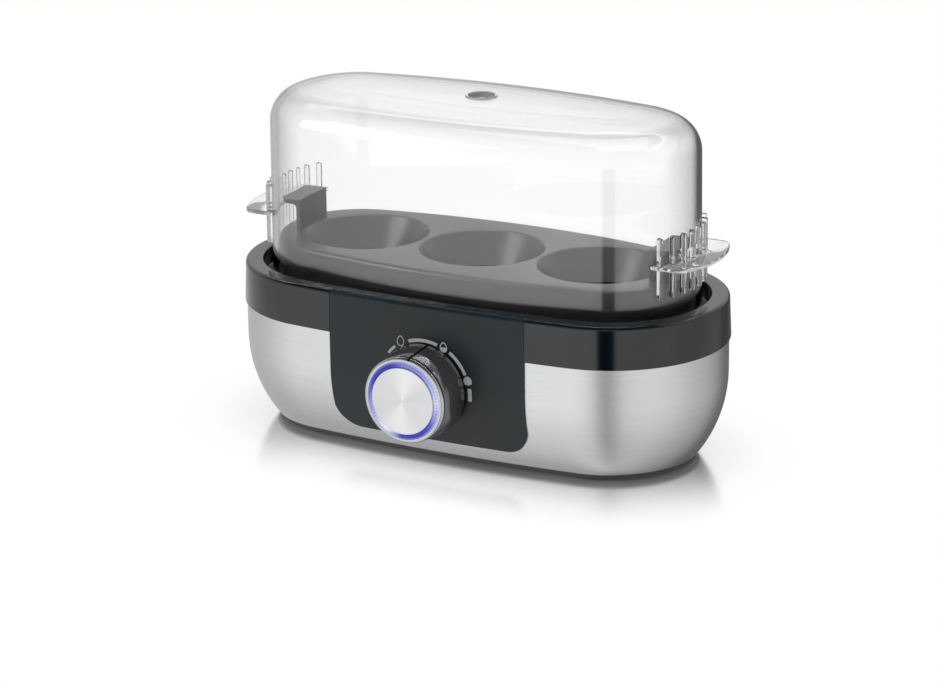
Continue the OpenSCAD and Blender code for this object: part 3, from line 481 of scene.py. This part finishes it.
# The bars of the printed scale: first and last degree clockwise from the top, thickness, radius
SCALE_BARS = [(-52, -39, 0.95, 18.3), (-20, 18, 1.25, 17.9), (35, 66, 1.25, 18.2), (82, 97, 1.5, 18.4)]


def panel_finish():
    """Satin panel with the printed marks of the scale round the knob."""
    f = Finish("panel_satin")
    x, y, z = f.place()
    up = z - KNOB_Z
    far = length(x, up)
    turn = x.turn(up) * (180 / pi)
    blur = 0.08
    spot_blur = blur / 1.6

    def below(value, limit, fade):
        return value.ramp(limit + fade, limit - fade)

    def bar(first, last, thick, radius):
        half_span = radians((last - first) / 2) * radius
        along = abs(turn - (first + last) / 2) * radians(radius)
        return below(abs(far - radius), thick / 2, blur) * below(along, half_span, blur)

    def spot(angle, radius, half_w, half_h):
        """Distance from a spot's middle, 1 on its outline, and height above its middle."""
        dx = (x - radius * sin(radians(angle))) / half_w
        dz = (up - radius * cos(radians(angle))) / half_h
        return length(dx * (1 + dz * 0.18), dz), dz

    soft, _ = spot(-29.7, 18.95, 1.45, 1.95)
    medium, level = spot(26, 18.4, 1.45, 1.9)
    hard, _ = spot(73, 18.4, 1.65, 1.65)
    soft_hollow = soft.ramp(0.82 - spot_blur, 0.82 + spot_blur)
    medium_hollow = medium.ramp(0.76 - spot_blur, 0.76 + spot_blur).max(level.ramp(0.05, -0.05))
    marks = below(hard, 1, spot_blur)
    marks = marks.max(below(soft, 1, spot_blur) * soft_hollow)
    marks = marks.max(below(medium, 1, spot_blur) * medium_hollow)
    for stretch in SCALE_BARS:
        marks = marks.max(bar(*stretch))
    marks = marks * y.ramp(-30, -31)
    at = f.vector(x, y, z)
    fine = f.noise(at, 4.0, 3.0)
    cloud = f.noise(at, 0.04)
    plastic = f.blend(cloud.ramp(0.3, 0.7), (0.0022, 0.0056, 0.0082, 1), (0.0034, 0.0078, 0.0112, 1))
    return f.done(f.surface(
        Base_Color=f.blend(marks, plastic, (0.42, 0.43, 0.44, 1)),
        Roughness=0.46 + (cloud - 0.5) * 0.1 + marks * 0.08,
        Specular_IOR_Level=0.38,
        Normal=f.bump(fine, 0.02),
    ))


def spun_finish():
    """Spun face: fine rings cut about the knob's axis tilt its gloss, and fans of painted highlight and
    shade run round it in its colour.
    """
    f = Finish("spun_face")
    x, _, z = f.place()
    up = z - KNOB_Z
    far = length(x, up)
    turn = x.turn(up)
    rings = f.noise(f.vector(far * 14.0, 0.0, 0.0), 1.0, 3.0, 0.7)
    # painted highlight and shade: bright and dark fans of reflection laid into the colour by direction
    # round the knob
    painted_wide_fans = (turn * 2.0 - 0.25).wave() ** 1.5
    painted_narrow_fans = (turn * 4.0 - 0.9).wave()
    painted_fans_and_rings = painted_wide_fans * 0.6 + painted_narrow_fans * 0.2 + rings.ramp(0.3, 0.7) * 0.2
    span = far.max(0.01)
    out = f.vector(x / span, 0.0, up / span)
    lean = (rings - 0.5) * 1.2
    tilt = f.node("ShaderNodeVectorMath", {"operation": "SCALE"}, {0: out, "Scale": lean})
    face = f.node("ShaderNodeNewGeometry", out="Normal")
    turned = f.node("ShaderNodeVectorMath", {"operation": "ADD"}, {0: face, 1: tilt})
    return f.done(f.surface(
        Base_Color=f.blend(painted_fans_and_rings, (0.458, 0.462, 0.466, 1), (0.604, 0.608, 0.612, 1)),
        Metallic=1.0,
        Roughness=0.24,
        Normal=f.node("ShaderNodeVectorMath", {"operation": "NORMALIZE"}, {0: turned}),
    ))


# How pale the lit ring looks, by degrees clockwise from the top
GLOW = [
    (0, 0.24), (30, 0.28), (60, 0.50), (85, 0.70), (105, 0.40), (125, 0.15), (150, 0.0), (185, 0.05),
    (212, 0.95), (240, 0.46), (270, 0.22), (300, 0.02), (335, 0.0), (360, 0.24),
]
BEADS = 72


def glow_finish():
    """Lit ring: deep blue, paler and beaded where the lamps sit behind it, with a thin pale outer rim."""
    f = Finish("blue_glow")
    x, _, z = f.place()
    up = z - KNOB_Z
    far = length(x, up)
    turn = x.turn(up) / (2 * pi) + 1.0
    turn = turn.math("FRACT", turn)
    level = f.levels(turn, [(at / 360, pale) for at, pale in GLOW])
    bead = (turn * (2 * pi * BEADS)).wave()
    lamps = level * (0.75 + bead * 0.25) * far.ramp(12.8, 13.9, 1.3, 0.85)
    pale = (lamps + far.ramp(13.65, 14.1) * 0.22).min(1.0)
    glow = f.blend(pale.ramp(0.0, 0.32), (0.026, 0.032, 0.37, 1), (0.19, 0.22, 0.66, 1))
    glow = f.blend(pale.ramp(0.15, 1.0), glow, (0.80, 0.82, 0.94, 1))
    return f.done(f.surface(
        Base_Color=(0.01, 0.012, 0.03, 1),
        Roughness=0.25,
        Specular_IOR_Level=0.2,
        Emission_Color=glow,
        Emission_Strength=1.0,
    ))


def hood_finish():
    """Clear hood: greyer where its wall is looked along, with a band of painted shade on its shoulder, ribs
    and tabs a trace milky, and a dull rim round the steam hole. Shadow and bounced light pass straight
    through it."""
    f = Finish("clear_hood")
    x, y, z = f.place()
    crown_z = 125.3
    facing = f.node("ShaderNodeLayerWeight", sockets={"Blend": 0.5}, out="Facing")
    wall = z.ramp(crown_z, crown_z - 2.3)
    # painted shade: a grey band laid on the shoulder just below the crown
    shoulder = z.ramp(crown_z - 6.0, crown_z - 0.3) * z.ramp(crown_z, crown_z - 0.5)
    crown = z.ramp(crown_z - 0.5, crown_z)
    shade = facing.ramp(0.10, 0.60) * wall * 0.28 + facing.ramp(0.60, 0.82) * wall * 0.34
    shade = shade + shoulder * 0.19 + crown * facing.ramp(0.72, 0.95) * 0.26
    out = length((abs(x) - HOOD.end_x).max(0.0), y) - HOOD.end_r
    grip = out.ramp(0.15, 0.5) * abs(y).ramp(23.0, 22.0) * abs(x).ramp(64.0, 66.0)
    hole_rim = length(x, y).ramp(5.1, 4.85) * z.ramp(123.0, 124.5)
    haze = f.noise(f.vector(x, y, z), 0.15, 3.0)
    clear = f.surface(
        Base_Color=f.blend(shade * (1 - grip * 0.8), grey(1.0), (0.0, 0.03, 0.06, 1)),
        Roughness=haze.ramp(0.3, 0.7, 0.01, 0.025) + grip * 0.04,
        Transmission_Weight=1.0,
        IOR=1.49,
    )
    milky = f.surface(Base_Color=(0.93, 0.945, 0.955, 1), Roughness=0.35)
    dull = f.surface(Base_Color=(0.33, 0.34, 0.35, 1), Roughness=0.4)
    skin = f.mix(hole_rim * 0.8, f.mix(grip * 0.07, clear, milky), dull)
    shadow, bounced = f.rays("Is Shadow Ray", "Is Diffuse Ray")
    open_air = f.node("ShaderNodeBsdfTransparent", sockets={"Color": grey(0.93)})
    return f.done(f.mix(shadow.max(bounced), skin, open_air))


collar_gloss = moulded("collar_gloss", (0.0008, 0.0034, 0.0058), 0.10, grain=0.001, IOR=1.5)
knob_gloss = moulded("knob_gloss", (0.040, 0.043, 0.044), 0.08, grain=0.001, IOR=2.1)
rack_satin = moulded("rack_satin", (0.021, 0.0235, 0.025), 0.32, grain=0, lift=0.12, IOR=1.7)
bright_chrome = plain_metal("bright_chrome", (0.45, 0.46, 0.465), 0.22)
steel = brushed_steel()
panel_satin = panel_finish()
spun_face = spun_finish()
blue_glow = glow_finish()
clear_hood = hood_finish()


def dark_collar():
    """Dark rim with its ledge, the recess for the hood and the shelf in it, let back for the panel."""
    shelf, under, inner = 54.0, 52.0, -9.2
    back, seam_x = -2.9, 39.55
    bm = bmesh.new()

    def inside(pen):
        return pen.line(-5.0, under).line(-5.0, RIM_LOW).line(back, RIM_LOW)

    def ledge(pen):
        pen.line(back, RIM_TOP).line(-6.7, RIM_TOP).arc(-6.7, RIM_TOP - 0.5, 90, 4)
        return pen.line(-7.2, shelf + 0.8).arc(-8.0, shelf + 0.8, -90, 4).line(inner, shelf)

    before = counts(bm)
    pen = inside(Pen(bm, inner, under)).line(-0.38, RIM_LOW).arc(-0.38, RIM_LOW + 0.35, 90, 4)
    ledge(pen.line(-0.6, RIM_TOP - RIM_ROUND).arc(-2.0, RIM_TOP - RIM_ROUND, 90, 8))
    sweep(bm, drawn(bm, before), BODY, gap=seam_x)
    before = counts(bm)
    ledge(inside(Pen(bm, inner, under)))
    sweep_front(bm, drawn(bm, before), BODY, seam_x, 48)
    before = counts(bm)
    Pen(bm, 0.5, shelf).arc(0.5, shelf - 0.5, 90, 3).line(0, under)
    sweep(bm, drawn(bm, before), PAN_HOLE)
    weld(bm)
    fill_levels(bm, shelf, under)
    bmesh.ops.holes_fill(bm, edges=open_edges(bm), sides=0)
    face_out(bm)
    return bm


def steel_bowl():
    """Brushed sheet, drawn in towards the foot and turned under into a narrow lip."""
    top, foot, sheet, lip = 45.15, 2.0, 0.6, -14.55
    outer = 49.0
    inner = outer - sheet
    outer_turn = asin((WALL_Z - foot - 0.4) / outer)
    inner_turn = asin((WALL_Z - foot - 1.0) / inner)
    bm = bmesh.new()
    pen = Pen(bm, -0.75, top).line(-0.75, WALL_Z).arc(WALL_HUB, WALL_Z, -degrees(outer_turn), 40)
    pen.line(-11.6, foot).line(lip, foot).line(lip, foot + sheet).line(-11.9, foot + sheet)
    pen.line(WALL_HUB + inner * cos(inner_turn), foot + 1.0)
    pen.arc(WALL_HUB, WALL_Z, degrees(inner_turn), 40).line(-0.75 - sheet, top).close()
    sweep(bm, profile(bm), BODY)
    weld(bm)
    face_out(bm)
    return bm


def turn_on_knob(bm):
    """Spins a profile about the knob's axis; x is the radius and z the distance in front of the panel."""
    spin_round(bm, KNOB_STEPS)
    weld(bm)
    face_out(bm)
    bmesh.ops.transform(bm, matrix=ON_KNOB, verts=bm.verts)


def front_panel():
    """Satin panel bent over the bowl and up over the rim, with round lower corners and the knob's seat."""
    half, low, corner, cuts = 39.4, 8.7, 10.0, 18
    bend = asin((WALL_Z - 7.5) / -WALL_HUB)
    bm = bmesh.new()
    pen = Pen(bm, -2.75, RIM_TOP).line(-2.0, RIM_TOP).arc(-2.0, RIM_TOP - RIM_ROUND, -90, 8)
    pen.line(0, RIM_LOW).line(0, 38.8).line(0, WALL_Z).arc(WALL_HUB, WALL_Z, -degrees(bend), 26)
    sweep_front(bm, profile(bm), BODY, half, 60)
    for side in (-1, 1):
        heart = Vector((side * (half - corner), 0, low + corner))
        for step in range(cuts + 1):
            lean = pi / 2 * step / cuts
            away = Vector((side * sin(lean), 0, -cos(lean)))
            bmesh.ops.bisect_plane(
                bm, geom=profile(bm) + bm.faces[:], dist=0.0005,
                plane_co=heart + away * corner, plane_no=away, clear_outer=True,
            )
    face_out(bm)
    if sum(f.normal.y * f.calc_area() for f in bm.faces) > 0:
        bmesh.ops.reverse_faces(bm, faces=bm.faces)
    bmesh.ops.solidify(bm, geom=bm.faces[:], thickness=0.7)
    seat = bmesh.new()
    Pen(seat, 0, -1.5).line(15.5, -4.6).line(15.5, 0.1).arc(15.3, 0.1, 90, 3).line(0, 0.3)
    turn_on_knob(seat)
    return join(bm, seat)


# The knob's parts by radius and by distance in front of the panel
KNOB_BORE, GROOVE_FLOOR, SLEEVE_R = 14.22, 15.2, 16.5
SLEEVE_BACK, SLEEVE_FRONT = 0.7, 13.3
CHROME_BACK, CHROME_FRONT = 13.32, 15.1


def notched(full, low):
    """A ring about the knob's axis: the low profile in the pointer's groove, the full one elsewhere."""
    bm = bmesh.new()
    half, top = 0.55 / SLEEVE_R, pi / 2 - radians(8)
    for draw, start, angle, steps in (
        (full, top + half, 2 * pi - 2 * half, 176),
        (low, top - half, 2 * half, 4),
    ):
        before = counts(bm)
        draw(bm)
        carry(bm, drawn(bm, before), start, 0, ORIGIN, [(ORIGIN, angle, steps)])
    weld(bm)
    bmesh.ops.holes_fill(bm, edges=open_edges(bm), sides=0)
    face_out(bm)
    bmesh.ops.transform(bm, matrix=ON_KNOB, verts=bm.verts)
    return bm


def black_sleeve():
    """Glossy black barrel of the knob."""
    def back(bm):
        return Pen(bm, KNOB_BORE, SLEEVE_BACK).line(GROOVE_FLOOR, SLEEVE_BACK)

    def front(pen):
        pen.line(GROOVE_FLOOR, SLEEVE_FRONT).line(KNOB_BORE, SLEEVE_FRONT).close()

    def full(bm):
        pen = back(bm).line(SLEEVE_R, SLEEVE_BACK).arc(SLEEVE_R, SLEEVE_BACK + 0.5, 90, 5)
        front(pen.line(16.13, SLEEVE_FRONT - 0.25).line(15.95, SLEEVE_FRONT))

    def low(bm):
        front(back(bm))

    return notched(full, low)


def chrome_ring():
    """Polished ring at the front of the knob, rounded over its outer edge."""
    radius, bend = 16.0, 1.157
    hub = (radius - bend, CHROME_FRONT - bend)
    part = asin((GROOVE_FLOOR - hub[0]) / bend)

    def back(bm):
        return Pen(bm, KNOB_BORE, CHROME_BACK).line(GROOVE_FLOOR, CHROME_BACK)

    def front(pen):
        pen.arc(*hub, degrees(part), 2).line(14.4, CHROME_FRONT).line(KNOB_BORE, CHROME_FRONT - 0.2).close()

    def full(bm):
        pen = back(bm).line(15.8, CHROME_BACK).line(radius, CHROME_BACK + 0.18).line(radius, hub[1])
        front(pen.arc(*hub, 90 - degrees(part), 8))

    def low(bm):
        front(back(bm).line(hub[0] + bend * sin(part), hub[1] + bend * cos(part)))

    return notched(full, low)


def glow_ring():
    """Clear ring that carries the lamps' light to the front, with its web and hub."""
    bore, hub, inner, outer = 3.02, 5.5, 12.7, 14.18
    back, web, hub_front, front, edge = 2.9, 4.9, 12.0, 15.3, 0.25
    bm = bmesh.new()
    pen = Pen(bm, bore, back).line(outer, back).line(outer, front - edge)
    pen.arc(outer - edge, front - edge, 90, 4).line(inner + edge, front)
    pen.arc(inner + edge, front - edge, 90, 4).line(inner, web).line(hub, web)
    pen.line(hub, hub_front).line(bore, hub_front).close()
    turn_on_knob(bm)
    return bm


def spun_disc():
    """Face of the knob: a turned disc with a broken edge."""
    radius, back, front, edge = 12.4, 14.9, 15.9, 0.3
    bm = bmesh.new()
    pen = Pen(bm, 0, back).line(radius, back).line(radius, front - edge)
    pen.arc(radius - edge, front - edge, 90, 5).line(6.0, front).line(0, front)
    turn_on_knob(bm)
    return bm


def hood_shell():
    """Thin clear wall with a round shoulder and a low crown, the steam hole in its middle."""
    wall, thick, draft, edge = 113.0, 1.8, 0.45, 0.4
    shoulder, crown, turn = 12.2, 46.0, 71
    hub = (-draft - shoulder, wall)
    reach = crown - shoulder
    deep = (hub[0] - reach * cos(radians(turn)), wall - reach * sin(radians(turn)))
    top = deep[1] + crown
    flat = 4 - HOOD.end_r
    rising = (STAND_Z + 0.9, STAND_Z + 3, wall - 3, wall - 0.8, wall)

    def up_wall(pen, start, heights):
        for height in heights:
            pen.line(start - draft * (height - STAND_Z) / (wall - STAND_Z), height)
        return pen

    bm = bmesh.new()
    pen = Pen(bm, flat, top - thick).line(deep[0], top - thick)
    pen.arc(*deep, turn - 90, 9).arc(*hub, -turn, 16)
    up_wall(pen, -thick, rising[-2::-1]).line(-thick, STAND_Z + edge)
    pen.arc(edge - thick, STAND_Z + edge, 90, 4).line(-edge, STAND_Z).arc(-edge, STAND_Z + edge, 90, 4)
    up_wall(pen, 0, rising).arc(*hub, turn, 20).arc(*deep, 90 - turn, 10).line(flat, top)
    sweep(bm, profile(bm), HOOD)
    weld(bm)
    hole = bmesh.new()
    hole_r, rim_r, rim_top, bend = 4.8, 5.9, top + 0.5, 0.2
    pen = Pen(hole, rim_r, top).line(rim_r, rim_top - bend).arc(rim_r - bend, rim_top - bend, 90, 4)
    pen.line(hole_r + bend, rim_top).arc(hole_r + bend, rim_top - bend, 90, 4).line(hole_r, top - thick)
    spin_round(hole, 72)
    join(bm, hole)
    fill_levels(bm, top, top - thick)
    face_out(bm)
    return bm


def hood_ribs():
    """Eight round-edged upright ribs at each end of the hood."""
    ribs, spread = 8, radians(9.5)
    low, tall, half, depth = 66.6, 22.3, 0.95, HOOD.end_r + 1.8 - GRIP_START
    foot, head = low + half, low + tall - half
    bm = bmesh.new()
    for side in (0, pi):
        end = Matrix.Rotation(side, 4, "Z") @ Matrix.Translation((HOOD.end_x, 0, 0))
        for step in range(ribs):
            rib = bmesh.new()
            pen = Pen(rib, half, foot).line(half, head).arc(0, head, 180, 12)
            pen.line(-half, foot).arc(0, foot, 180, 12)
            weld(rib)
            thicken(rib, depth, 0.6)
            bmesh.ops.rotate(rib, verts=rib.verts, cent=ORIGIN, matrix=Matrix.Rotation(-pi / 2, 3, "Z"))
            fan = Matrix.Rotation((step - (ribs - 1) / 2) * spread, 4, "Z")
            place = end @ fan @ Matrix.Translation((GRIP_START, 0, 0))
            bmesh.ops.transform(rib, matrix=place, verts=rib.verts)
            join(bm, rib)
    return bm


def hood_tabs():
    """Grip tab at each end of the hood: a thin plate with a curved outer edge and round corners."""
    outer, half, corner = HOOD.end_r + 9.6, 20.3, 5.0
    low, thick = 77.6, 1.5
    y = half - corner
    x = ((outer - corner) ** 2 - y**2) ** 0.5
    lean = degrees(atan2(y, x))
    root = asin(half / GRIP_START)
    root_x = GRIP_START * cos(root)
    bm = bmesh.new()
    for side in (0, pi):
        tab = bmesh.new()
        pen = Pen(tab, root_x, -half).line(x, -half).arc(x, -y, 90 - lean, 8).arc(0, 0, 2 * lean, 24)
        pen.arc(x, y, 90 - lean, 8).line(root_x, half).arc(0, 0, -2 * degrees(root), 24)
        weld(tab)
        thicken(tab, thick, 0.4)
        place = Matrix.Rotation(side, 4, "Z") @ Matrix.Translation((HOOD.end_x, 0, low + thick))
        bmesh.ops.transform(tab, matrix=place @ Matrix.Rotation(-pi / 2, 4, "X"), verts=tab.verts)
        join(bm, tab)
    return bm


def clear_lid():
    """Hood, ribs and tabs in one clear skin."""
    return fuse(fuse(hood_shell(), hood_ribs()), hood_tabs())


def rack_handle(side):
    """Lifting handle of the rack: an upright with a flange turned outwards and round corners."""
    near, far, thick, fillet = 71.4, 80.5, 1.9, 1.5
    low, under, top, half = 69.5, 80.1, 82.0, 10.0
    bm = bmesh.new()
    pen = Pen(bm, near, low).line(near + thick, low).line(near + thick, under - fillet)
    pen.arc(near + thick + fillet, under - fillet, -90, 6)
    pen.line(far, under).line(far, top).line(near, top).close()
    thicken(bm, 2 * half)
    tip = [e for e in bm.edges if all(abs(v.co.x - far) < 0.01 for v in e.verts)]
    round_over(bm, [e for e in tip if e.verts[0].co.z != e.verts[1].co.z], 3.0, 8)
    bmesh.ops.translate(bm, vec=(0, -half, 0), verts=bm.verts)
    bmesh.ops.rotate(bm, verts=bm.verts, cent=ORIGIN, matrix=Matrix.Rotation(side, 3, "Z"))
    return bm


def egg_tray():
    """Dark rack: rounded band, foot wall, three tapering egg seats and the two handles."""
    top, under, band, edge = 70.5, 68.7, 62.5, 0.3
    pitch, cup_low = 48.0, 58.5
    bm = bmesh.new()
    pen = Pen(bm, -7.2, top).line(-4.2, top).arc(-4.2, top - 1.6, -90, 8)
    pen.line(-2.6, band + edge).line(-2.9, band).line(-4.1, band).line(-4.4, band + edge).line(-4.4, under)
    pen.line(-4.8, under).line(-4.8, STAND_Z + edge).line(-5.1, STAND_Z)
    pen.line(-6.3, STAND_Z).line(-6.6, STAND_Z + edge).line(-6.6, under)
    sweep(bm, profile(bm), HOOD)
    weld(bm)
    for seat in (-1, 0, 1):
        cup = bmesh.new()
        pen = Pen(cup, 23.5, top).arc(23.5, top - 0.9, 63, 6).line(16.7, cup_low + edge).line(16.9, cup_low)
        pen.line(17.5, cup_low).line(17.75, cup_low + edge).line(22.885, under)
        spin_round(cup, 96)
        bmesh.ops.translate(cup, vec=(seat * pitch, 0, 0), verts=cup.verts)
        join(bm, cup)
    fill_levels(bm, top, under)
    face_out(bm)
    for side in (0, pi):
        join(bm, rack_handle(side))
    return bm


piece("dark_collar", dark_collar(), "base", collar_gloss, ["rim_collar"])
piece("steel_bowl", steel_bowl(), "base", steel, ["steel_shell"])
soften(piece("control_panel", front_panel(), "base", panel_satin, ["front_panel"]), 0.22)
piece("black_sleeve", black_sleeve(), "knob", knob_gloss, ["knob_sleeve"])
piece("chrome_ring", chrome_ring(), "knob", bright_chrome, ["knob_chrome_ring"])
piece("glow_ring", glow_ring(), "knob", blue_glow, ["knob_light_ring"])
piece("spun_disc", spun_disc(), "start_button", spun_face, ["face_disc"])
soften(piece("egg_tray", egg_tray(), "rack", rack_satin, ["egg_rack"]), 0.3)
piece("clear_lid", clear_lid(), "lid", clear_hood, ["lid"])


def slot_look(slot, look):
    """A plain finish in the colour that the record gives a slot."""
    colour = tuple(look["base_color"][:3])
    if look["class"] in ("chrome", "brushed_steel", "aluminium"):
        return plain_metal(slot, colour, 0.3)
    if look["class"] == "glass":
        return clear_finish(slot, colour, 0.1)
    return moulded(slot, colour, 0.5, lift=0.08)


slot_of = {part["node"]: part["material_slot"] for part in frame["record"]["subparts"]}
looks = {look["slot"]: look for look in frame["record"]["materials"]}
finishes = {"clear_hood": clear_hood, "rack_grey": rack_satin}
for name, obj in node.items():
    slot = slot_of[name]
    if slot not in finishes:
        finishes[slot] = slot_look(slot, looks[slot])
    obj.data.materials.clear()
    obj.data.materials.append(finishes[slot])


# The camera stands where the photograph was taken from, and its lens is fitted in the photograph's pixels
eye = Vector((0.559487, -1.038258, 0.422120))
right = Vector((0.87995851, 0.47491453, -0.011367))
upward = Vector((-0.13910687, 0.28047956, 0.94972654))
backward = Vector((0.45422714, -0.83413872, 0.31287425))
focal_pixels, photo_width = 3380, 940
camera = bpy.data.cameras.new("camera")
camera.sensor_width = 36
camera.lens = camera.sensor_width * focal_pixels / photo_width
camera.clip_end = 20
camera_obj = bpy.data.objects.new("camera", camera)
camera_obj.matrix_world = Matrix((
    (right.x, upward.x, backward.x, eye.x),
    (right.y, upward.y, backward.y, eye.y),
    (right.z, upward.z, backward.z, eye.z),
    (0, 0, 0, 1),
))
scene.collection.objects.link(camera_obj)
scene.camera = camera_obj


def floor():
    """White table: matt under the object, white to the eye further out, a soft mirror close to the foot.
    It is open to rays from below and to gloss that has left through the hood."""
    foot_run, foot_r = 52.0, 34.0
    bm = bmesh.new()
    bmesh.ops.create_grid(bm, x_segments=1, y_segments=1, size=6.0)
    mesh = bpy.data.meshes.new("table")
    bm.to_mesh(mesh)
    bm.free()
    f = Finish("table_white")
    x, y, _ = f.place()
    away = length((abs(x) - foot_run).max(0.0), y) - foot_r
    near = away.ramp(46.0, -2.0)
    open_floor = away.ramp(-4.0, 24.0)
    seen, shiny, through, mirrors = f.rays(
        "Is Camera Ray", "Is Glossy Ray", "Is Transmission Ray", "Glossy Depth"
    )
    below = f.node("ShaderNodeNewGeometry", out="Backfacing")
    matt = f.node("ShaderNodeBsdfDiffuse", sockets={"Color": grey(0.9)})
    white = f.node("ShaderNodeEmission", sockets={"Color": grey(1.0), "Strength": 1.0})
    gloss = f.node("ShaderNodeBsdfGlossy", sockets={"Color": grey(1.0), "Roughness": 0.18})
    unseen = f.node("ShaderNodeBsdfTransparent")
    bright = f.mix(seen.max(shiny).max(through) * open_floor, matt, white)
    table = f.mix(near * 0.78 * seen, bright, gloss)
    mesh.materials.append(f.done(f.mix(below.max(through * mirrors.min(1.0)), table, unseen)))
    obj = bpy.data.objects.new("table", mesh)
    scene.collection.objects.link(obj)
    obj.visible_glossy = False


def lamp(name, at, aim, size, power):
    """A soft box: an oblong area lamp that points at a spot and leaves no mark in gloss."""
    data = bpy.data.lights.new(name, "AREA")
    data.shape = "RECTANGLE"
    data.size, data.size_y = size
    data.energy = power
    obj = bpy.data.objects.new(name, data)
    look = (Vector(aim) - Vector(at)).to_track_quat("-Z", "Y")
    obj.matrix_world = Matrix.Translation(at) @ look.to_matrix().to_4x4()
    obj.visible_glossy = False
    scene.collection.objects.link(obj)


# Brightness of the room that gloss sees, by direction in degrees from the front towards the right
SCREENS = [
    (-180, 0.10), (-163, 0.12), (-150, 0.45), (-100, 0.55), (-79, 0.61), (-59, 0.78), (-38, 0.95),
    (-20, 1.0), (2, 1.0), (11.5, 0.97), (15, 0.02), (28, 0.02), (31.5, 0.84), (42, 0.86), (82, 0.83),
    (91, 0.75), (111, 0.6), (131, 0.49), (141, 0.44), (151, 0.34), (161, 0.16), (171, 0.11), (180, 0.10),
]
ROOM_LIGHT = 0.5


def studio():
    """White room to the eye, even and dimmer as a light. Gloss sees white screens in front with a dark gap
    between them, dim ones behind, and a sky that darkens overhead; inside the hood the sky is even."""
    scene.world = bpy.data.worlds.new("studio")
    f = Finish("studio", scene.world)
    seen, shiny, through, mirrors = f.rays(
        "Is Camera Ray", "Is Glossy Ray", "Is Transmission Ray", "Glossy Depth"
    )
    way = f.node("ShaderNodeTexCoord", out="Generated")
    x, y, z = f.outputs(f.node("ShaderNodeSeparateXYZ", sockets={0: way}), "X", "Y", "Z")
    screens = f.levels(x.turn(0 - y) / (2 * pi) + 0.5, [((at + 180) / 360, level) for at, level in SCREENS])
    height = z.math("ARCSINE", z) * (180 / pi)
    behind = y.ramp(-0.15, 0.15)
    above = height.ramp(-4, 10)
    inner = through * mirrors.min(1.0)
    front_sky = height.ramp(2, 45, 0.9, 0.1)
    back_sky = height.ramp(2, 22, 0.5, 1.0) * height.ramp(50, 55, 1.0, 0.1)
    back_sky = back_sky + height.ramp(45, 48) * height.ramp(52, 50) * 1.8
    sky = (front_sky * (1 - behind) + back_sky * behind) * (1 - inner) + inner * 0.8
    wall = screens * (1.5 - inner * 0.35) * height.ramp(-70, -16, 0.72, 1.0)
    mirrored = wall * (1 - above) + above * sky
    direct = seen.max(through) * (1 - inner)
    level = direct + (1 - direct) * (shiny * mirrored + (1 - shiny) * ROOM_LIGHT)
    f.done(f.node("ShaderNodeBackground", sockets={"Color": grey(1.0), "Strength": level}))


floor()
lamp("top_box", (0.1, 0.1, 1.3), (0, 0, 0), (1.2, 1.0), 9)
lamp("left_box", (-0.9, -1.0, 0.7), (0, 0, 0.05), (0.8, 0.9), 7)
studio()
scene.view_settings.view_transform = "Standard"
